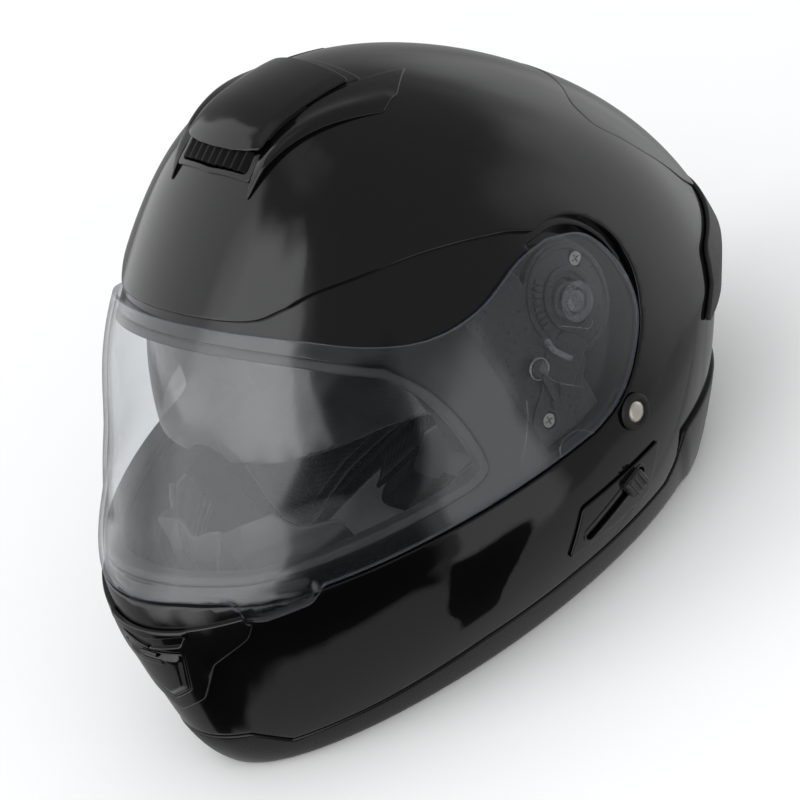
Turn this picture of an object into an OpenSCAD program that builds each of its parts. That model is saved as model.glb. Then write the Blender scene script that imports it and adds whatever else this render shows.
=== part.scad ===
/* [Outer shell form] */
// Reach of the chin bar in front of the shell centre
front_r = 185; // [165:1:200]
// Reach of the back of the shell behind the shell centre
rear_r = 169; // [150:1:185]
// Half width of the shell at its widest row
side_r = 122; // [112:0.5:132]
// Height of the crown above the resting plane
shell_h = 260; // [245:1:280]
// Height of the widest row
z_full = 73; // [65:1:90]
// How far the chin tucks in at the bottom edge
front_tuck = 10.5; // [5:0.5:30]
// How far the nape tucks in at the bottom edge
rear_tuck = 62; // [30:1:80]
// How far each cheek tucks in at the bottom edge
side_tuck = 25.5; // [10:0.5:40]
// Thickness of the moulded shell
shell_t = 6.2; // [4:0.1:7]
// Depth of the step the visor lies in
step_d = 3.4; // [2.8:0.1:4]
// Depth of the side pockets that hold the visor mechanism
pocket_d = 11; // [9:0.5:13]

/* [Visor] */
// Visor pivot, distance behind the centre of the footprint
pivot_y = 48; // [40:0.5:55]
// Visor pivot height
pivot_z = 130; // [124:1:138]
// Visor thickness
visor_t = 2.2; // [1.8:0.1:3]
// How far the visor stands proud of the shell at the front
visor_proud = 1.8; // [0:0.1:3]
// How far the middle of the visor lies inside the curve of the shell
visor_flat = 6; // [0:0.5:8]
// Radius of the moulded pivot boss on each ear of the visor
boss_r = 9.5; // [7:0.5:11]
// Running clearance of the boss in its socket
run_gap = 0.05; // [0.02:0.01:0.1]

/* [Sun visor] */
// Sun visor pivot, distance behind the centre of the footprint
sun_y = 40; // [34:1:46]
// Sun visor pivot height
sun_z = 104; // [98:1:110]
// Outer radius of the tinted lens about its pivot
sun_r = 146; // [142:1:147]
// Half width of the tinted lens at its pivots
sun_w = 96; // [92:1:98]
// Lens thickness
sun_t = 2; // [1.6:0.1:2.4]

/* [Lining] */
// Half width of the space inside the foam
head_w = 80; // [76:1:86]
// Reach of that space in front of its centre
head_f = 101; // [94:1:106]
// Reach of that space behind its centre
head_b = 108; // [104:1:116]
// Height of the top of that space
head_h = 222; // [218:1:230]
// Thickness of the fabric comfort lining
liner_t = 7.5; // [5:0.5:10]

/* [Slider, straps and buckle] */
// Travel of the sun visor slider
slider_travel = 28; // [20:1:32]
// Strap webbing width
strap_w = 23; // [18:1:26]
// Strap webbing thickness
strap_t = 1.9; // [1.5:0.1:2.5]
// Strap anchor, distance behind the centre of the footprint
rivet_y = 42; // [35:0.5:55]
// Strap anchor height
rivet_z = 69; // [60:1:80]

/* [Hidden] */
eps = 0.01;
gap = 0.4;
y_mid = (front_r - rear_r) / 2;
head_y = 13;
n_around = 44;
n_low = 4;
n_up = 12;

// ---- shell surface ------------------------------------------------------------
// The shell is a stack of closed rows. Every row is a rounded oval, and t moves
// the whole surface inwards (negative t moves it outwards).
function rise(z, t) = min(max((z - z_full) / (shell_h - t - z_full), 0), 1);
function tuck(z) = max((z_full - z) / z_full, 0);
function girth(z, t, r, d, e, q) =
    (r - t - d * pow(tuck(z), e)) * sqrt(1 - pow(rise(z, t), 2)) * (1 - q * pow(rise(z, t), 2));
function row_f(z, t) = girth(z, t, front_r, front_tuck, 5.5, 0.483);
function row_b(z, t) = girth(z, t, rear_r, rear_tuck, 1, 0.202);
function row_w(z, t) = girth(z, t, side_r, side_tuck, 2, -0.075);
function row_k(z) = 0.088 + 0.007 * max(z, 0) / shell_h;
function skin_pt(a, z, t) =
    let (f = row_f(z, t), b = row_b(z, t), c = cos(a))
    [row_w(z, t) * sin(a) * (1 - row_k(z) * c * c * c),
     y_mid - (f + b) / 2 * c - (f - b) / 2 * c * c, z];
// Half width of the surface at a given place in side view
function side_x(y, z, t) =
    let (f = row_f(z, t), b = row_b(z, t), m = (f + b) / 2, d = (f - b) / 2,
         c = (-m + sqrt(m * m - 4 * d * (y - y_mid))) / (2 * d))
    row_w(z, t) * sqrt(1 - c * c) * (1 - row_k(z) * c * c * c);

// The visor is nearly straight from top to bottom across the front
function ease(x) = let (u = min(max(x, 0), 1)) u * u * (3 - 2 * u);
function visor_sag(a, z) =
    visor_flat * ease((cos(a) - 0.26) / 0.44) * ease((z - 113) / 22) * (1 - ease((z - 144) / 40));

// The space for the head inside the foam
function head_pt(a, z, g) =
    let (u = min(max((z - 130) / (head_h - g - 130), 0), 1), v = max((130 - z) / 130, 0),
         c = sqrt(1 - u * u), k = cos(a) > 0 ? head_f - g : head_b - g - 24 * pow(v, 1.5))
    [(head_w - g - 5 * v * v) * c * sin(a), head_y - k * c * cos(a), z];

function rows_up(z0, z1, top, n1, n2) = concat(
    [for (i = [0 : n1 - 1]) z0 + (z1 - z0) * i / n1],
    [for (i = [0 : n2 - 1]) z1 + (top - z1) * sin(90 * i / n2)]);

// Closed solid from rows of points with one point on top
module stack(pts, n, m, tip) {
    faces = concat(
        [[for (j = [0 : n - 1]) j]],
        [for (i = [0 : m - 2], j = [0 : n - 1]) [i * n + j, (i + 1) * n + j, (i + 1) * n + (j + 1) % n]],
        [for (i = [0 : m - 2], j = [0 : n - 1])
            [i * n + j, (i + 1) * n + (j + 1) % n, i * n + (j + 1) % n]],
        [for (j = [0 : n - 1]) [(m - 1) * n + j, m * n, (m - 1) * n + (j + 1) % n]]);
    polyhedron(concat(pts, [tip]), faces, convexity = 8);
}

module form(t = 0, z0 = 0, n = n_around, m = n_up) {
    zs = rows_up(z0, z_full, shell_h - t, n_low, m);
    pts = [for (z = zs, j = [0 : n - 1]) skin_pt(360 * j / n, z, t)];
    stack(pts, n, len(zs), [0, y_mid, shell_h - t]);
}

module head_space(g = 0, z0 = -6) {
    zs = rows_up(z0, 130, head_h - g, 3, 7);
    pts = [for (z = zs, j = [0 : 31]) head_pt(11.25 * j, z, g)];
    stack(pts, 32, len(zs), [0, head_y, head_h - g]);
}

// ---- outlines and cutters -----------------------------------------------------
function spline_pt(a, b, c, d, s) =
    0.5 * (2 * b + (c - a) * s + (2 * a - 5 * b + 4 * c - d) * s * s + (3 * b - a - 3 * c + d) * s * s * s);
function curve(p, n = 4) = [
    for (i = [0 : len(p) - 2], j = [0 : n - 1])
        spline_pt(p[max(i - 1, 0)], p[i], p[i + 1], p[min(i + 2, len(p) - 1)], j / n)];

// Prism seen from the side, drawn as (y, z)
module side_cut(w = 400) rotate([90, 0, 90]) linear_extrude(w, center = true) children();
// Prism seen from the front, drawn as (x, z), reaching forwards from y
module front_cut(y = 0) translate([0, y, 0]) rotate([90, 0, 0]) linear_extrude(300) children();
// Prism seen from behind, drawn as (x, z), reaching backwards from y
module rear_cut(y = 0) translate([0, y + 300, 0]) rotate([90, 0, 0]) linear_extrude(300) children();
// Prism seen from above, drawn as (x, y)
module top_cut() translate([0, 0, 150]) linear_extrude(200) children();
module both() {
    children();
    mirror([1, 0]) children();
}
module pair() {
    children();
    mirror([1, 0, 0]) children();
}
// Moulded or cut as one skin: the width is held at its nominal value
module moulded() resize([0, 0, 0]) union() children();
module layer(t0, t1, z0 = 0) difference() {
    form(t0, z0);
    form(t1, z0 - 4);
}
module rod(y, z, x0, x1, r, fn = 48) translate([x0, y, z]) rotate([0, 90, 0]) cylinder(h = x1 - x0,
    r = r, $fn = fn);

visor_low = [[-230, 110], [-175, 106], [-158, 101], [-135, 93.5], [-67, 86], [9, 78], [19, 77]];
visor_ear = [[19, 77], [38, 79], [57, 88], [75, 104], [80, 126], [73, 149], [54, 162]];
visor_top = [[54, 162], [33, 165], [2, 162], [-26, 166.5], [-50, 179], [-70, 195], [-90, 209], [-130, 234],
    [-230, 300]];
brow_line = [[57, 165], [51, 168], [33, 180.5], [-4, 197], [-44, 205.5], [-62, 205], [-75, 205], [-92, 214],
    [-130, 238], [-230, 304]];
module visor_shape() polygon(concat(curve(visor_low), curve(visor_ear), curve(visor_top), [[-230, 300]]));
module step_shape() {
    offset(r = 1.4) visor_shape();
    ear_sweep(38.5);
    polygon(concat(curve(visor_low), [[19, 77], [60, 144], [58, 164]], curve(brow_line), [[-230, 304]]));
}
// Room for the ear to turn in, behind the pivot
module ear_sweep(r) intersection() {
    translate([pivot_y, pivot_z]) circle(r = r, $fn = 48);
    translate([44, 60]) square([80, 140]);
}
module pocket_shape() {
    ear_sweep(33.5);
    intersection() {
        offset(r = -3.2) visor_shape();
        translate([-6, 60]) square([120, 140]);
    }
    intersection() {
        offset(r = 1) visor_shape();
        translate([44, 60]) square([80, 140]);
    }
}
eye_low = [[-230, 118], [-175, 114], [-158, 109], [-135, 102], [-67, 95.5], [-44, 94]];
eye_rear = [[-44, 94], [-35, 99], [-34, 120], [-38, 144], [-48, 165]];
eye_top = [[-48, 165], [-60, 175], [-76, 189], [-96, 204], [-130, 226], [-230, 290]];
module eye_shape() polygon(concat(curve(eye_low), curve(eye_rear), curve(eye_top), [[-230, 290]]));
trim_line = [[-230, 25], [-168, 24.5], [-156, 13.5], [-120, 14], [-70, 17], [48, 15], [58, 20], [68, 32],
    [110, 30], [220, 28]];
module trim_shape() polygon(concat(trim_line, [[220, -6], [-230, -6]]));
vent_line = [[60, 92], [54, 81], [35, 71], [20, 51], [0, 42]];
module vent_shape() polygon(concat(vent_line, [for (i = [3 : -1 : 0]) [-vent_line[i][0],
    vent_line[i][1]]]));
module flap_shape() polygon([[-22, 79], [22, 79], [14.5, 57], [0, 50], [-14.5, 57]]);
module slot_shape() polygon([[-27, 89.5], [27, 89.5], [22, 83], [-22, 83]]);
module slider_shape() polygon([[-21, 28.5], [-6, 49.5], [49, 45], [34, 25], [28, 24]]);
slider_from = [-2, 34];
slider_to = [26, 39.5];
slider_dir = (slider_to - slider_from) / norm(slider_to - slider_from);

// ---- shell and its edge ---------------------------------------------------------
module outer_shell() color([0.03, 0.03, 0.035]) moulded() difference() {
    union() {
        difference() {
            form(0);
            side_cut() step_shape();
        }
        difference() {
            form(step_d);
            side_cut() pocket_shape();
        }
        form(pocket_d);
    }
    difference() {
        form(shell_t, -4, 36, 10);
        side_cut() offset(delta = 3.5) pocket_shape();
    }
    form(pocket_d + 3.4, -5, 36, 10);
    side_cut() eye_shape();
    side_cut() offset(delta = gap) trim_shape();
    front_cut(-120) offset(delta = -1.5) slot_shape();
    front_cut(-120) offset(delta = -3) flap_shape();
    // hole for the strap anchors, the slider and the crown and nape vents
    rod(rivet_y, rivet_z, -140, 140, 3.1);
    pair() for (p = base_screws) rod(p[0], p[1], 90, 125, 2.0, 12);
    translate([80, 0, 0]) side_cut(160) hull() {
        translate([slider_from[0] - 5, slider_from[1]]) circle(r = 4, $fn = 16);
        translate([slider_to[0] + 5, slider_to[1]]) circle(r = 4, $fn = 16);
    }
    top_cut() translate([-14, -26]) square([28, 8]);
    rear_cut(100) both() translate([18, 74]) square([26, 9]);
    rear_cut(100) both() translate([16, 118]) square([20, 6]);
}

module bottom_trim() color([0.05, 0.05, 0.05]) moulded() intersection() {
    difference() {
        union() {
            form(-1);
            intersection() {
                form(-3.2);
                translate([-150, 69, -1]) cube([300, 150, 60]);
            }
        }
        form(shell_t + 1.4, -4);
    }
    side_cut() trim_shape();
}

module eyeport_seal() color([0.06, 0.06, 0.06]) moulded() intersection() {
    layer(step_d + 0.1, 12.5);
    side_cut() difference() {
        offset(delta = -gap) eye_shape();
        offset(delta = -4.4) eye_shape();
    }
}

// ---- foam and comfort lining ----------------------------------------------------
module sun_sweep(g) translate([0, sun_y, sun_z]) rotate([0, 90, 0]) difference() {
    rotate_extrude($fn = 48) sun_profile(sun_r + g, sun_w + g);
    rotate_extrude($fn = 48) sun_profile(sun_r - sun_t - g, sun_w - sun_t - g);
}
// Half outline of the lens revolved about the pivot axis
module sun_profile(r, w) polygon(concat([[0, -w]],
    [for (i = [1 : 17]) let (a = i * 10 - 90, s = sin(a)) [r * pow(cos(a), 0.77), w * sign(s)
        * pow(abs(s), 0.77)]],
    [[0, w]]));

module eps_liner() color([0.12, 0.12, 0.13]) moulded() difference() {
    intersection() {
        union() {
            difference() {
                form(shell_t + 0.9, 0, 32, 9);
                side_cut() offset(delta = 5) pocket_shape();
            }
            form(pocket_d + 4.6, 0, 32, 9);
        }
        side_cut() polygon(concat([[-230, 300]], [for (p = [[-230, 291], [-96, 211], [-76, 196.5], [-57,
            182],
            [-40, 166], [-28, 142], [-27, 92], [72, 92], [76, 42], [200, 42]]) p], [[200, 300]]));
    }
    head_space(0);
    intersection() {
        sun_sweep(1.8);
        side_cut() polygon([[-230, 60], [70, 60], [70, 300], [-230, 300]]);
    }
    rod(sun_y, sun_z, -104, -80, 15, 24);
    rod(sun_y, sun_z, 80, 104, 15, 24);
    cable(2.6);
    // air channels under the crown vent
    top_cut() both() translate([6, -60]) square([8, 150]);
}

module chin_eps() color([0.12, 0.12, 0.13]) moulded() intersection() {
    difference() {
        layer(shell_t + 1.4, 30, 0);
        front_cut(-100) translate([-24, 53]) square([48, 36]);
    }
    side_cut() polygon([[-230, 29], [-168, 28.5], [-154, 17], [-56, 19], [-56, 87], [-68, 88.5], [-135,
        95], [-230, 101]]);
}

module crown_liner() color([0.16, 0.16, 0.17]) moulded() intersection() {
    difference() {
        head_space(0.5);
        head_space(liner_t);
    }
    side_cut() polygon([[-106, 175], [-64, 171], [-34, 146], [-22, 99], [74, 99], [78, 52], [160, 52],
        [160, 236],
        [-106, 236]]);
}

module cheek_pad() moulded() intersection() {
    difference() {
        layer(17.8, 58);
        head_space(7, -8);
    }
    translate([100, 0, 0]) side_cut(200) offset(r = 6) offset(delta = -6)
        polygon([[-50, 17], [62, 17], [69, 56], [68, 87.5], [-24, 87.5], [-48, 79]]);
}
module cheek_pad_left() color([0.14, 0.14, 0.15]) cheek_pad();
module cheek_pad_right() color([0.14, 0.14, 0.15]) mirror([1, 0, 0]) cheek_pad();

module neck_roll() color([0.13, 0.13, 0.14]) moulded() intersection() {
    difference() {
        layer(shell_t + 2.2, 60);
        head_space(9, -8);
    }
    side_cut() polygon([[78, 10], [200, 10], [200, 40], [80, 40]]);
}

module chin_curtain() color([0.1, 0.1, 0.1]) moulded() difference() {
    intersection() {
        form(shell_t + 2);
        translate([-120, -190, 6]) cube([240, 96, 1.8]);
    }
    translate([0, -20, 0]) scale([1, 1.35, 1]) cylinder(h = 20, r = 74, $fn = 40);
}

module breath_guard() color([0.08, 0.08, 0.08]) moulded() difference() {
    intersection() {
        translate([0, 12, 0]) layer(30, 33.5);
        front_cut(-60) offset(r = 5) offset(delta = -5)
            polygon([[-62, 72], [62, 72], [56, 98], [26, 119], [-26, 119], [-56, 98]]);
    }
    front_cut(-60) both() translate([26, 86]) for (i = [0 : 2]) translate([i * 8, 0]) square([4, 12]);
}

// ---- visor and its mechanism ----------------------------------------------------
// The visor front stands slightly proud of the shell, the ears lie flush
module visor_body(t) {
    zs = rows_up(60, z_full, shell_h - t, 1, 13);
    pts = [for (z = zs, j = [0 : 47])
        let (a = 7.5 * j, q = max(cos(a), 0) * max(min((z - 95) / 80, 1), 0))
        skin_pt(a, z, t - visor_proud * q + visor_sag(a, z))];
    stack(pts, 48, len(zs), [0, y_mid, shell_h - t + 1]);
}
module visor() color([0.75, 0.78, 0.82, 0.35]) {
    moulded() union() {
        intersection() {
            difference() {
                visor_body(0);
                visor_body(visor_t);
            }
            side_cut() visor_shape();
            translate([-200, -250, 0]) cube([400, 400, 300]);
        }
        // thumb tab below the lower edge on the left
        intersection() {
            layer(-4.2, -0.6, 60);
            translate([30, 0, 0]) side_cut(80) polygon([[-154, 88], [-126, 89], [-127, 100], [-153, 107]]);
            translate([46, -190, 0]) cube([30, 80, 200]);
        }
    }
    pair() rod(pivot_y, pivot_z, 106.5, side_x(pivot_y, pivot_z, 1), boss_r);
}

module base_plate() difference() {
    moulded() union() {
        intersection() {
            layer(8.2, 10.6, 30);
            translate([100, 0, 0]) side_cut(200) difference() {
                offset(delta = -0.7) pocket_shape();
                difference() {
                    translate([32, 60]) square([100, 140]);
                    translate([pivot_y, pivot_z]) circle(r = 26, $fn = 48);
                }
            }
        }
        intersection() {
            layer(6.8, 8.6, 30);
            translate([100, 0, 0]) side_cut(200) difference() {
                translate([pivot_y, pivot_z]) circle(r = 15, $fn = 40);
                translate([pivot_y, pivot_z]) circle(r = 12, $fn = 40);
            }
        }
        // toothed arc that the visor detent clicks over
        intersection() {
            layer(5.6, 8.6, 30);
            translate([100, 0, 0]) side_cut(200) for (i = [0 : 6]) translate([pivot_y, pivot_z])
                rotate(150 + 9 * i)
                translate([22, -1.2]) square([4, 2.4]);
        }
    }
    rod(pivot_y, pivot_z, 90, 130, boss_r + run_gap, 64);
    for (p = base_screws) rod(p[0], p[1], 90, 130, 1.75, 24);
    for (p = base_screws) rod(p[0], p[1], side_x(p[0], p[1], 9.6), 130, 3.9, 24);
    rod(lever_at[0], lever_at[1], 90, 130, 2, 24);
}
base_screws = [[4, 94], [64, 140]];
lever_at = [12, 119];
module base_plate_left() color([0.07, 0.07, 0.07]) base_plate();
module base_plate_right() color([0.07, 0.07, 0.07]) mirror([1, 0, 0]) base_plate();
module base_plate_screws() color([0.6, 0.6, 0.62]) pair() for (p = base_screws) {
    x1 = side_x(p[0], p[1], 9.55);
    difference() {
        rod(p[0], p[1], x1, x1 + 1.8, 3.4, 32);
        translate([x1 + 1.6, p[0], p[1]]) cube([1.6, 4.4, 0.9], center = true);
        translate([x1 + 1.6, p[0], p[1]]) cube([1.6, 0.9, 4.4], center = true);
    }
    rod(p[0], p[1], x1 - 3.4, x1 + eps, 1.7, 24);
}

// Release lever: stud, arm and thumb pad, standing on the base plate
lever_x = side_x(lever_at[0], 96, 7.9);
module release_lever() {
    rod(lever_at[0], lever_at[1], lever_x - 4.5, lever_x + 2.15, 1.95, 32);
    difference() {
        rod(lever_at[0], lever_at[1], lever_x + 0.35, lever_x + 2, 4.2, 32);
        rod(lever_at[0], lever_at[1], lever_x, lever_x + 4, 1.9, 32);
    }
    translate([lever_x + 1.6, lever_at[0] - 1.6, lever_at[1] - 7]) cube([0.4, 3.4, 4]);
    translate([lever_x + 0.35, lever_at[0] - 1.6, lever_at[1] - 20]) cube([1.65, 3.4, 13.8]);
    translate([lever_x + 0.35, lever_at[0] - 3.2, lever_at[1] - 23]) cube([1.9, 6.4, 5]);
}
module release_lever_left() color([0.1, 0.1, 0.1]) release_lever();
module release_lever_right() color([0.1, 0.1, 0.1]) mirror([1, 0, 0]) release_lever();
module lever_springs() color([0.7, 0.7, 0.72]) pair() translate([lever_x + 0.6, lever_at[0], lever_at[1]])
    rotate([0, 90, 0]) for (i = [0 : 1]) translate([0, 0, i * 0.65]) rotate_extrude($fn = 32)
        translate([5.2, 0])
        circle(r = 0.3, $fn = 12);

// ---- sun visor and its slider ---------------------------------------------------
module sun_visor() color([0.12, 0.1, 0.1, 0.7]) difference() {
    intersection() {
        translate([0, sun_y, sun_z]) rotate([0, 90, 0]) difference() {
            rotate_extrude($fn = 96) sun_profile(sun_r, sun_w);
            rotate_extrude($fn = 96) sun_profile(sun_r - sun_t, sun_w - sun_t);
        }
        side_cut() polygon([[-160, 135], [-70, 133.5], [-40, 127], [-8, 110], [18, 96], [34, 92], [46,
            93.5],
            [52, 102], [48, 113], [20, 130], [0, 136.5], [-22, 148], [-50, 188], [-62, 208], [-66, 244],
                [-160, 244]]);
        translate([-120, -130, 60]) cube([240, 200, 142]);
    }
    front_cut(-20) translate([0, 116]) circle(r = 24.5, $fn = 48);
    rod(sun_y, sun_z, -120, 120, 3.05, 32);
}
module sun_pivot() {
    rod(sun_y, sun_z, sun_w + 0.7, sun_w + 3.4, 9, 40);
    rod(sun_y, sun_z, sun_w - 5, sun_w + 1, 3, 32);
    rod(sun_y, sun_z, sun_w - 5.6, sun_w - 3.4, 4.6, 32);
}
module sun_pivot_left() color([0.09, 0.09, 0.09]) sun_pivot();
module sun_pivot_right() color([0.09, 0.09, 0.09]) mirror([1, 0, 0]) sun_pivot();

module slider_panel() color([0.04, 0.04, 0.045]) moulded() difference() {
    intersection() {
        layer(-1.8, -0.3, 10);
        translate([100, 0, 0]) side_cut(200) offset(r = 1.5) offset(delta = -1.5) slider_shape();
    }
    translate([100, 0, 0]) side_cut(200) hull() {
        translate(slider_from - slider_dir * 5.5) circle(r = 3, $fn = 16);
        translate(slider_to + slider_dir * 5.5) circle(r = 3, $fn = 16);
    }
}
slider_x = side_x(slider_to[0], slider_to[1], 0);
module sun_visor_slider() color([0.06, 0.06, 0.06]) translate([slider_x, slider_to[0] - 1, slider_to[1]
    - 0.2])
    rotate([atan2(slider_dir[1], slider_dir[0]), 0, 0]) {
        translate([-1.2, -6, -2.6]) cube([7, 12, 5.2]);
        translate([-11.5, -2.2, -1.8]) cube([11, 4.4, 3.6]);
        for (i = [-1 : 1]) translate([5.5, i * 3.4 - 0.6, -2.6]) cube([1.2, 1.2, 5.2]);
    }
module slider_cable() color([0.08, 0.08, 0.08]) cable(1.0);
module cable(r) for (i = [0 : 6]) hull() {
    translate(cable_pt(cable_path[i])) sphere(r = r, $fn = 10);
    translate(cable_pt(cable_path[i + 1])) sphere(r = r, $fn = 10);
}
// Side position and depth below the shell surface
cable_path = [[31, 41, 8.1], [42, 43, 8.2], [56, 47, 8.0], [66, 57, 9.4], [70, 66, 12.8], [72, 78, 17.2],
    [66, 92, 18.5],
    [56, 99, 20.5]];
function cable_pt(p) = [side_x(p[0], p[1], p[2]), p[0], p[1]];

// ---- vents ------------------------------------------------------------------------
wing = [[29, -37], [33, -22], [52, 38], [46, 52], [30, 71], [29.5, 47], [24.5, -10]];
module top_vent_housing() color([0.04, 0.04, 0.045]) moulded() difference() {
    intersection() {
        layer(-2.2, -0.3, 150);
        top_cut() union() {
            both() polygon(wing);
            polygon([[-27, -29], [27, -29], [30, 48], [-30, 48]]);
        }
    }
    top_cut() translate([-24.5, -26]) square([49, 14]);
}
module top_vent_cover() color([0.035, 0.035, 0.04]) moulded() difference() {
    intersection() {
        layer(-6, -2.5, 150);
        top_cut() cover_shape();
    }
    intersection() {
        layer(-4, -2, 150);
        top_cut() union() {
            offset(delta = -2.4) cover_shape();
            translate([-24, -40]) square([48, 50]);
            translate([-40, -40]) square([80, 38]);
        }
    }
}
module cover_shape() polygon([[-27, -19], [0, -22], [27, -19], [29, 10], [26.5, 42], [-26.5, 42], [-29,
    10]]);
module top_vent_grille() color([0.05, 0.05, 0.05]) moulded() intersection() {
    layer(-2.4, -0.35, 150);
    top_cut() union() {
        for (i = [-4 : 4]) translate([i * 5 - 0.9, -25 + abs(i) * 0.4]) square([1.8, 8.6]);
        translate([-22, -17]) square([44, 2.4]);
    }
}

module chin_vent_surround() color([0.045, 0.045, 0.05]) moulded() intersection() {
    layer(-2.2, -0.3, 20);
    front_cut(-80) difference() {
        vent_shape();
        offset(delta = 0.5) flap_shape();
        slot_shape();
        // room for the visor and its thumb tab
        polygon([[44.5, 84.5], [80, 84.5], [80, 110], [-80, 110], [-80, 92.2], [44.5, 92.2]]);
    }
}
module chin_vent_flap() color([0.05, 0.05, 0.055]) {
    moulded() intersection() {
        layer(-2.6, -0.6, 20);
        front_cut(-80) offset(delta = -0.1) flap_shape();
    }
    // hinge barrel along the upper edge
    rod(-178.7, 78.9 - 1, -6, 6, 1.1, 32);
}
module chin_vent_grille() color([0.06, 0.06, 0.06]) moulded() intersection() {
    layer(1.6, 3.6, 20);
    front_cut(-120) union() {
        intersection() {
            offset(delta = -3.4) flap_shape();
            union() {
                for (i = [-3 : 3]) translate([i * 5 - 0.8, 44]) square([1.6, 40]);
                for (i = [0 : 3]) translate([-30, 56 + i * 6]) square([60, 1.6]);
            }
        }
        intersection() {
            offset(delta = -1.9) slot_shape();
            union() {
                for (i = [-4 : 4]) translate([i * 5 - 0.8, 78]) square([1.6, 20]);
                translate([-30, 85.6]) square([60, 1.4]);
            }
        }
    }
}

module rear_spoiler() color([0.035, 0.035, 0.04]) moulded() intersection() {
    difference() {
        translate([0, 4.4, -5.5]) form(0);
        form(-0.3);
    }
    rear_cut(100) polygon([[-50, 90], [-59, 104], [-67, 145], [-65, 164], [-54, 175], [54, 175], [65,
        164], [67, 145],
        [59, 104], [50, 90], [34, 87], [-34, 87]]);
}
module rear_vent_insert() color([0.06, 0.06, 0.06]) moulded() difference() {
    intersection() {
        layer(-2.6, -0.3, 20);
        rear_cut(108) polygon([[-102, 62], [-88, 86], [88, 86], [102, 62], [60, 56], [-60, 56]]);
    }
    rear_cut(108) both() for (i = [0 : 3]) translate([16 + i * 8, 66]) square([5, 14]);
}

// ---- straps and buckle ------------------------------------------------------------
module ribbon(p, w, t) {
    n = len(p);
    dir = [for (i = [0 : n - 1]) p[min(i + 1, n - 1)] - p[max(i - 1, 0)]];
    nrm = [for (d = dir) cross(d, [0, 1, 0]) / norm(cross(d, [0, 1, 0]))];
    pts = [for (i = [0 : n - 1], q = [[-1, -1], [1, -1], [1, 1], [-1, 1]])
        p[i] + [0, q[0] * w / 2, 0] + nrm[i] * q[1] * t / 2];
    faces = concat([[0, 1, 2, 3]], [[4 * n - 1, 4 * n - 2, 4 * n - 3, 4 * n - 4]],
        [for (i = [0 : n - 2], j = [0 : 3]) [4 * i + j, 4 * i + 4 + j, 4 * i + 4 + (j + 1) % 4]],
        [for (i = [0 : n - 2], j = [0 : 3]) [4 * i + j, 4 * i + 4 + (j + 1) % 4, 4 * i + (j + 1) % 4]]);
    polyhedron(pts, faces, convexity = 4);
}
buckle_z = 16.5;
function strap_x(z) = side_x(rivet_y, z, 12.2);
strap_fall = concat([for (z = [73.2, 62, 50, 36, 26]) [strap_x(z), rivet_y, z]],
    [[91.5, 40.5, 18.8], [88, 38, 12], [79, 30, 10.2], [67, 18, 11.8], [58, 8, 14.5], [50, 0, buckle_z]]);
module strap_left() color([0.1, 0.1, 0.11]) difference() {
    ribbon(strap_fall, strap_w, strap_t);
    rod(rivet_y, rivet_z, 90, 120, 3.1, 32);
}
module strap_right() color([0.1, 0.1, 0.11]) difference() {
    mirror([1, 0, 0]) ribbon(concat([for (i = [0 : 9]) strap_fall[i]], [[46, 0, buckle_z], [24, 0,
        buckle_z]]),
        strap_w, strap_t);
    rod(rivet_y, rivet_z, -120, -90, 3.1, 32);
}
module strap_pads() color([0.13, 0.13, 0.14]) pair() mirror([0, 0, 0])
    ribbon([for (p = [[84, 34, 13.8], [79, 30, 13.1], [67, 18, 14.7], [61, 11.5, 16.6]]) p], strap_w + 6,
        2.6);
module strap_rivets() color([0.72, 0.7, 0.66]) pair() {
    rod(rivet_y, rivet_z, rivet_x - 16.4, rivet_x + 1.4, 3, 32);
    translate([rivet_x, rivet_y, rivet_z]) rotate([0, 90, rivet_tilt]) translate([0, 0, 1.3])
        intersection() {
        translate([0, 0, -12.6]) sphere(r = 14, $fn = 48);
        cylinder(h = 3, r = 5.2, $fn = 48);
    }
}
// The ring lies flat on the curved side of the shell
rivet_x = side_x(rivet_y, rivet_z, 0) + 0.35;
rivet_tilt = 7.4;
module rivet_rings() color([0.05, 0.05, 0.05]) pair()
    translate([rivet_x, rivet_y, rivet_z]) rotate([0, 90, rivet_tilt]) difference() {
        cylinder(h = 2.4, r1 = 9, r2 = 7.4, $fn = 48);
        translate([0, 0, -1]) cylinder(h = 5, r = 3.25, $fn = 32);
        translate([0, 0, 1.2]) cylinder(h = 3, r = 5.6, $fn = 40);
    }
module anchor_plates() color([0.6, 0.6, 0.6]) pair() {
    x1 = strap_x(rivet_z) - strap_t / 2 - 1.3;
    difference() {
        translate([x1 - 1.4, rivet_y - 11, rivet_z - 8]) cube([1.4, 22, 11.5]);
        rod(rivet_y, rivet_z, x1 - 4, x1 + 2, 3.05, 32);
    }
}
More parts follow.
